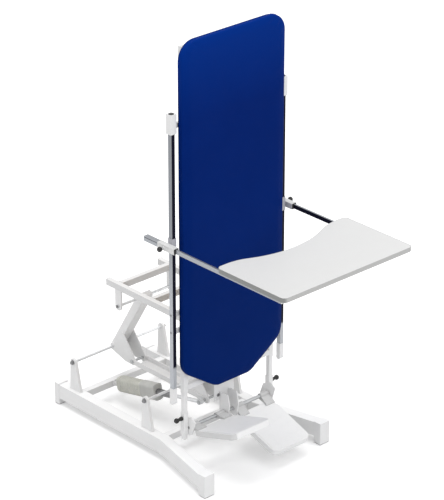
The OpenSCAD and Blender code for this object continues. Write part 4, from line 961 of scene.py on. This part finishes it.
def tray_fixings():
    """Screws under the tray bars, and caps on the bars' ends."""
    screws = Solid()
    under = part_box("tray_bars")[0].z
    for low, high in solids("tray_spacers"):
        x, y = (low.x + high.x) / 2, (low.y + high.y) / 2
        screws.lathe(Vector((x, y, under + 0.0001)), (0, 0, -1), TRAY_SCREW, 28)
    screws.piece("tray_screws", "tray", "steel")
    caps = Solid()
    for low, high in solids("tray_bars"):
        for y, side in ((low.y, -1), (high.y, 1)):
            start, end = y - side * 0.0001, y + side * 0.0025
            caps.end_block(low, high, AXIS_Y, start, end, HAIR, 1.0)
    caps.piece("tray_bar_caps", "tray", "white_plastic")


STUD_PITCH = 1.25
GRIP_FLUTES = (0.035, 8)
TRAY_KNOB_Y, TRAY_KNOB_NECK = 68, (14.6, 6.6)
TRAY_KNOB_X = (420.4, 460)
FOOT_KNOB_Y, FOOT_KNOB_Z, FOOT_KNOB_NECK = 59, 300, (23.5, 8.6)
FOOT_KNOB_X = (319.9, 362.5)
FOOT_COLLAR_X, FOOT_COLLAR_BORE = 322.8, 4.2


def knob(name, body, side, reach, y, z, neck):
    """A fluted grip on a threaded stud; reach: where the stud starts and the grip's middle;
    neck: the length and radius of the grip's shank."""
    out = (side, 0, 0)
    tip, ball = reach
    long, thick = neck
    grip = Solid()
    shank = [(-long, thick - 1.4), (-long + 0.4, thick), (-11.5, thick + 0.4)]
    grip.lathe(at(side * ball, y, z), out, shank + GRIP, 64, GRIP_FLUTES)
    grip.piece(name + "_grip", body, "black_plastic", [name], 50)
    stud = Solid()
    thread = [(0, 3.0), (0.8, 3.9)]
    for i in range(int((ball - tip - long) / STUD_PITCH)):
        thread += [(1 + i * STUD_PITCH, 4.0), (1 + (i + 0.5) * STUD_PITCH, 3.5)]
    thread.append((ball - tip - 12, 3.9))
    stud.lathe(at(side * tip, y, z), out, thread, 20)
    stud.piece(name + "_stud", body, "steel", angle=25)


def knobs():
    for word, side in (("left", -1), ("right", 1)):
        knob(word + "_tray_knob", word + "_tray_clamp", side, TRAY_KNOB_X, TRAY_KNOB_Y,
             BAR_Z * 1000, TRAY_KNOB_NECK)
        knob(word + "_foot_knob", word + "_foot_clamp", side, FOOT_KNOB_X, FOOT_KNOB_Y,
             FOOT_KNOB_Z, FOOT_KNOB_NECK)
    collars = Solid()
    for side in (-1, 1):
        spot = at(side * FOOT_COLLAR_X, FOOT_KNOB_Y, FOOT_KNOB_Z)
        collars.sleeve(spot, (side, 0, 0), COLLAR, FOOT_COLLAR_BORE)
    collars.piece("foot_knob_collars", "foot_carriage", "black_plastic")


LIFT_REAR, LIFT_FRONT = at(-80, 864, 112), at(-80, 184, 262)
TILT_REAR, TILT_FRONT = at(120, 466, 738), at(120, 122, 743)
CASE_END = 345  # along the actuator's axis from its rear pivot
CASE_SCREWS_ACROSS, CASE_SCREWS_UP = (24, -24), (40, -40)
SIDE_SCREWS_ALONG, CASE_HALF_WIDTH = (60, 140, 200), 0.0329


def wiper(name, body, rear, front, along, profile, bore):
    """The black ring at the mouth of an actuator's tube."""
    d = (front - rear).normalized()
    ring = Solid()
    ring.sleeve(rear + d * along, d, profile, bore)
    ring.piece(name, body, "black_plastic")


def actuator_details():
    """The screws of the lift actuator's case, and both actuators' wipers."""
    d = (LIFT_FRONT - LIFT_REAR).normalized()
    lift = Vector((0, d.z, -d.y))
    screws = Solid()
    for across in CASE_SCREWS_ACROSS:
        for up in CASE_SCREWS_UP:
            spot = LIFT_REAR + d * (CASE_END / 1000 - HAIR)
            spot += Vector((across / 1000, 0, 0)) + lift * up / 1000
            screws.lathe(spot, d, CASE_SCREW, 20)
    for s in SIDE_SCREWS_ALONG:
        for side in (-1, 1):
            spot = LIFT_REAR + d * s / 1000 + Vector((side * CASE_HALF_WIDTH, 0, 0))
            screws.lathe(spot, (side, 0, 0), SIDE_SCREW, 18)
    screws.piece("lift_case_screws", "lift_actuator", "steel")
    wiper("lift_tube_wiper", "lift_actuator", LIFT_REAR, LIFT_FRONT, 0.474, LIFT_WIPER, 11.4)
    wiper("tilt_tube_wiper", "tilt_actuator", TILT_REAR, TILT_FRONT, 0.230, TILT_WIPER, 9.4)


FOOT_HINGE_Y, FOOT_HINGE_Z = 45, 240
TREAD_X, TREAD_Y, TREAD_BASE = (32, 279), (-350, -84), -17
TREAD_CORNER, TREAD_SMALL_CORNER = 26, 5
TREAD_ROWS = ((0, -0.3), (0, 0.9), (0.6, 1.5))  # (drawn in, height) from edge to top
HINGE_SCREWS_X, HINGE_SCREWS_Y, HINGE_SCREWS_Z = (50, 82, 224, 256), -60, -11.2


def on_plate(side, toes_up, x, y, z):
    """A point of a footplate, given in its own flat frame, in the row frame."""
    a = math.radians(toes_up)
    c, s = math.cos(a), math.sin(a)
    return at(side * x, FOOT_HINGE_Y + y * c + z * s, FOOT_HINGE_Z - y * s + z * c)


def tread_outline():
    """The tread's outline from its front left corner, large corners in front."""
    (x0, x1), (y0, y1) = TREAD_X, TREAD_Y
    big, small = TREAD_CORNER, TREAD_SMALL_CORNER
    edge = []
    for cx, cy, start, r, steps in ((x0 + big, y0 + big, 180, big, 6),
                                    (x1 - big, y0 + big, 270, big, 6),
                                    (x1 - small, y1 - small, 0, small, 3),
                                    (x0 + small, y1 - small, 90, small, 3)):
        for k in range(steps + 1):
            a = math.radians(start + 90 / steps * k)
            edge.append(Vector((cx + r * math.cos(a), cy + r * math.sin(a))))
    return edge


def footplate_details():
    """A thin tread and four hinge screws on each footplate."""
    middle = Vector((sum(TREAD_X) / 2, sum(TREAD_Y) / 2))
    for word, side, toes in (("left", -1, 18), ("right", 1, -19)):
        tread = Solid()
        rows = []
        for drawn_in, rise in TREAD_ROWS:
            row = []
            for spot in tread_outline():
                v = spot - middle
                v = v * (1 - drawn_in / v.length) + middle
                point = on_plate(side, toes, v.x, v.y, TREAD_BASE + rise)
                row.append(tread.bm.verts.new(point))
            rows.append(row)
        tread.skin(rows)
        tread.piece(word + "_footplate_tread", word + "_foot_rest", "footplate_board", angle=40)
        screws = Solid()
        up = on_plate(side, toes, 0, 0, 1) - on_plate(side, toes, 0, 0, 0)
        for x in HINGE_SCREWS_X:
            spot = on_plate(side, toes, x, HINGE_SCREWS_Y, HINGE_SCREWS_Z)
            screws.lathe(spot, up, PLATE_SCREW, 22)
        screws.piece(word + "_hinge_screws", word + "_foot_rest", "steel")


RAIL_FACE_X = 0.3958
UPPER_BRACKETS_Z = 1.2  # the brackets above this show no bolt
HANGER_BOLTS_X, HANGER_BOLTS_Y, HANGER_BOLTS_Z = (-44, 44), 82.9, (470, 330)


def bracket_bolts():
    """Bolts on the lower rail brackets and on the foot end's hanger."""
    bolts = Solid()
    for low, high in solids("rail_brackets"):
        side = 1 if low.x > 0 else -1
        y, z = (low.y + high.y) / 2, (low.z + high.z) / 2
        if z <= UPPER_BRACKETS_Z:
            bolts.lathe(Vector((side * RAIL_FACE_X, y, z)), (side, 0, 0), RAIL_BOLT, 24)
    bolts.piece("rail_bolts", "couch", "dark_steel")
    hanger = Solid()
    for x in HANGER_BOLTS_X:
        for z in HANGER_BOLTS_Z:
            hanger.hexagon(at(x, HANGER_BOLTS_Y, z), (0, -1, 0), 13, 5.5, 0.3)
            hanger.lathe(at(x, HANGER_BOLTS_Y + 0.05, z), (0, -1, 0), THIN_WASHER, 26)
    hanger.piece("hanger_bolts", "foot_carriage", "dark_steel")


# ---------------------------------------------------------------- studio
WORLD_LIGHT = (0.60, 0.60, 0.605)
WHITE = grey(1.0)
FLOOR_LIT, FLOOR_SEEN, FLOOR_GLOW = grey(0.80), grey(0.97), 0.15
FLOOR_HALF = 60
LAMPS = (  # name, strength, direction it comes from, angle in degrees
    ("top", 1.40, (-0.04, 0.02, 1.0), 45),
    ("key", 0.80, (0.15, -0.80, 0.55), 50),
    ("fill", 0.42, (-0.90, -0.20, 0.38), 80),
)


def empty_tree(owner):
    owner.use_nodes = True
    owner.node_tree.nodes.clear()
    return owner.node_tree


def shader(tree, kind, colour, strength=1.0):
    node = tree.nodes.new(kind)
    node.inputs[0].default_value = (*colour, 1)
    if "Strength" in node.inputs:
        node.inputs["Strength"].default_value = strength
    return node


def seen_by_eye(tree):
    """1 for camera, glossy and transmission rays."""
    path = tree.nodes.new("ShaderNodeLightPath")
    value = path.outputs["Is Camera Ray"]
    for other in ("Is Glossy Ray", "Is Transmission Ray"):
        most = tree.nodes.new("ShaderNodeMath")
        most.operation = "MAXIMUM"
        tree.links.new(value, most.inputs[0])
        tree.links.new(path.outputs[other], most.inputs[1])
        value = most.outputs[0]
    return value


def blend_for_eye(tree, output, plain, seen):
    """Ends a tree with one shader for the rays that see it and a plain one for the rest."""
    out = tree.nodes.new(output)
    blend = tree.nodes.new("ShaderNodeMixShader")
    tree.links.new(seen_by_eye(tree), blend.inputs[0])
    tree.links.new(plain.outputs[0], blend.inputs[1])
    tree.links.new(seen.outputs[0], blend.inputs[2])
    tree.links.new(blend.outputs[0], out.inputs[0])


def backdrop():
    world = bpy.data.worlds.new("studio")
    bpy.context.scene.world = world
    tree = empty_tree(world)
    light = shader(tree, "ShaderNodeBackground", WORLD_LIGHT)
    seen = shader(tree, "ShaderNodeBackground", WHITE)
    blend_for_eye(tree, "ShaderNodeOutputWorld", light, seen)


def ground():
    """A pale floor that keeps the shadow; it glows a little for the eye alone."""
    mesh = bpy.data.meshes.new("floor")
    s = FLOOR_HALF
    mesh.from_pydata([(-s, -s, 0), (s, -s, 0), (s, s, 0), (-s, s, 0)], [], [(0, 1, 2, 3)])
    link_object("floor", mesh)
    paint = bpy.data.materials.new("floor")
    tree = empty_tree(paint)
    plain = shader(tree, "ShaderNodeBsdfDiffuse", FLOOR_LIT)
    pale = shader(tree, "ShaderNodeBsdfDiffuse", FLOOR_SEEN)
    glow = shader(tree, "ShaderNodeEmission", WHITE, FLOOR_GLOW)
    both = tree.nodes.new("ShaderNodeAddShader")
    tree.links.new(pale.outputs[0], both.inputs[0])
    tree.links.new(glow.outputs[0], both.inputs[1])
    blend_for_eye(tree, "ShaderNodeOutputMaterial", plain, both)
    mesh.materials.append(paint)


def lamp(name, strength, source, angle):
    data = bpy.data.lights.new(name, "SUN")
    data.energy = strength
    data.angle = math.radians(angle)
    made = link_object(name, data)
    made.rotation_mode = "QUATERNION"
    made.rotation_quaternion = Vector(source).to_track_quat("Z", "Y")


# The camera, as fitted to the photo.
FOCAL_PIXELS, PHOTO_HEIGHT, SENSOR = 2772.4, 500, 36
AZIMUTH, ELEVATION = math.radians(-42.570), math.radians(25.235)
AIM, DISTANCE = at(-92.1, 0, 1227.4), 14.3012


def camera():
    data = bpy.data.cameras.new("camera")
    data.sensor_width = SENSOR
    data.lens = FOCAL_PIXELS / PHOTO_HEIGHT * SENSOR
    data.clip_end = 200
    made = link_object("camera", data)
    flat = math.cos(ELEVATION)
    back = Vector((math.sin(AZIMUTH) * flat, -math.cos(AZIMUTH) * flat, math.sin(ELEVATION)))
    made.location = AIM + back * DISTANCE
    made.rotation_mode = "QUATERNION"
    made.rotation_quaternion = (-back).to_track_quat("-Z", "Y")
    bpy.context.scene.camera = made


dress_nodes()
pad_cover()
pad_wrap()
shaft_hardware()
pivot_hardware()
hinge_hardware()
for lever in ("rear", "front"):
    lever_rings(lever + "_lever_pin", lever + "_lever_rings", lever + "_arm")
tube_plugs()
welds()
tray_fixings()
knobs()
actuator_details()
footplate_details()
bracket_bolts()
sleeve_caps()
backdrop()
for settings in LAMPS:
    lamp(*settings)
ground()
camera()

bpy.context.scene.view_settings.view_transform = "Standard"
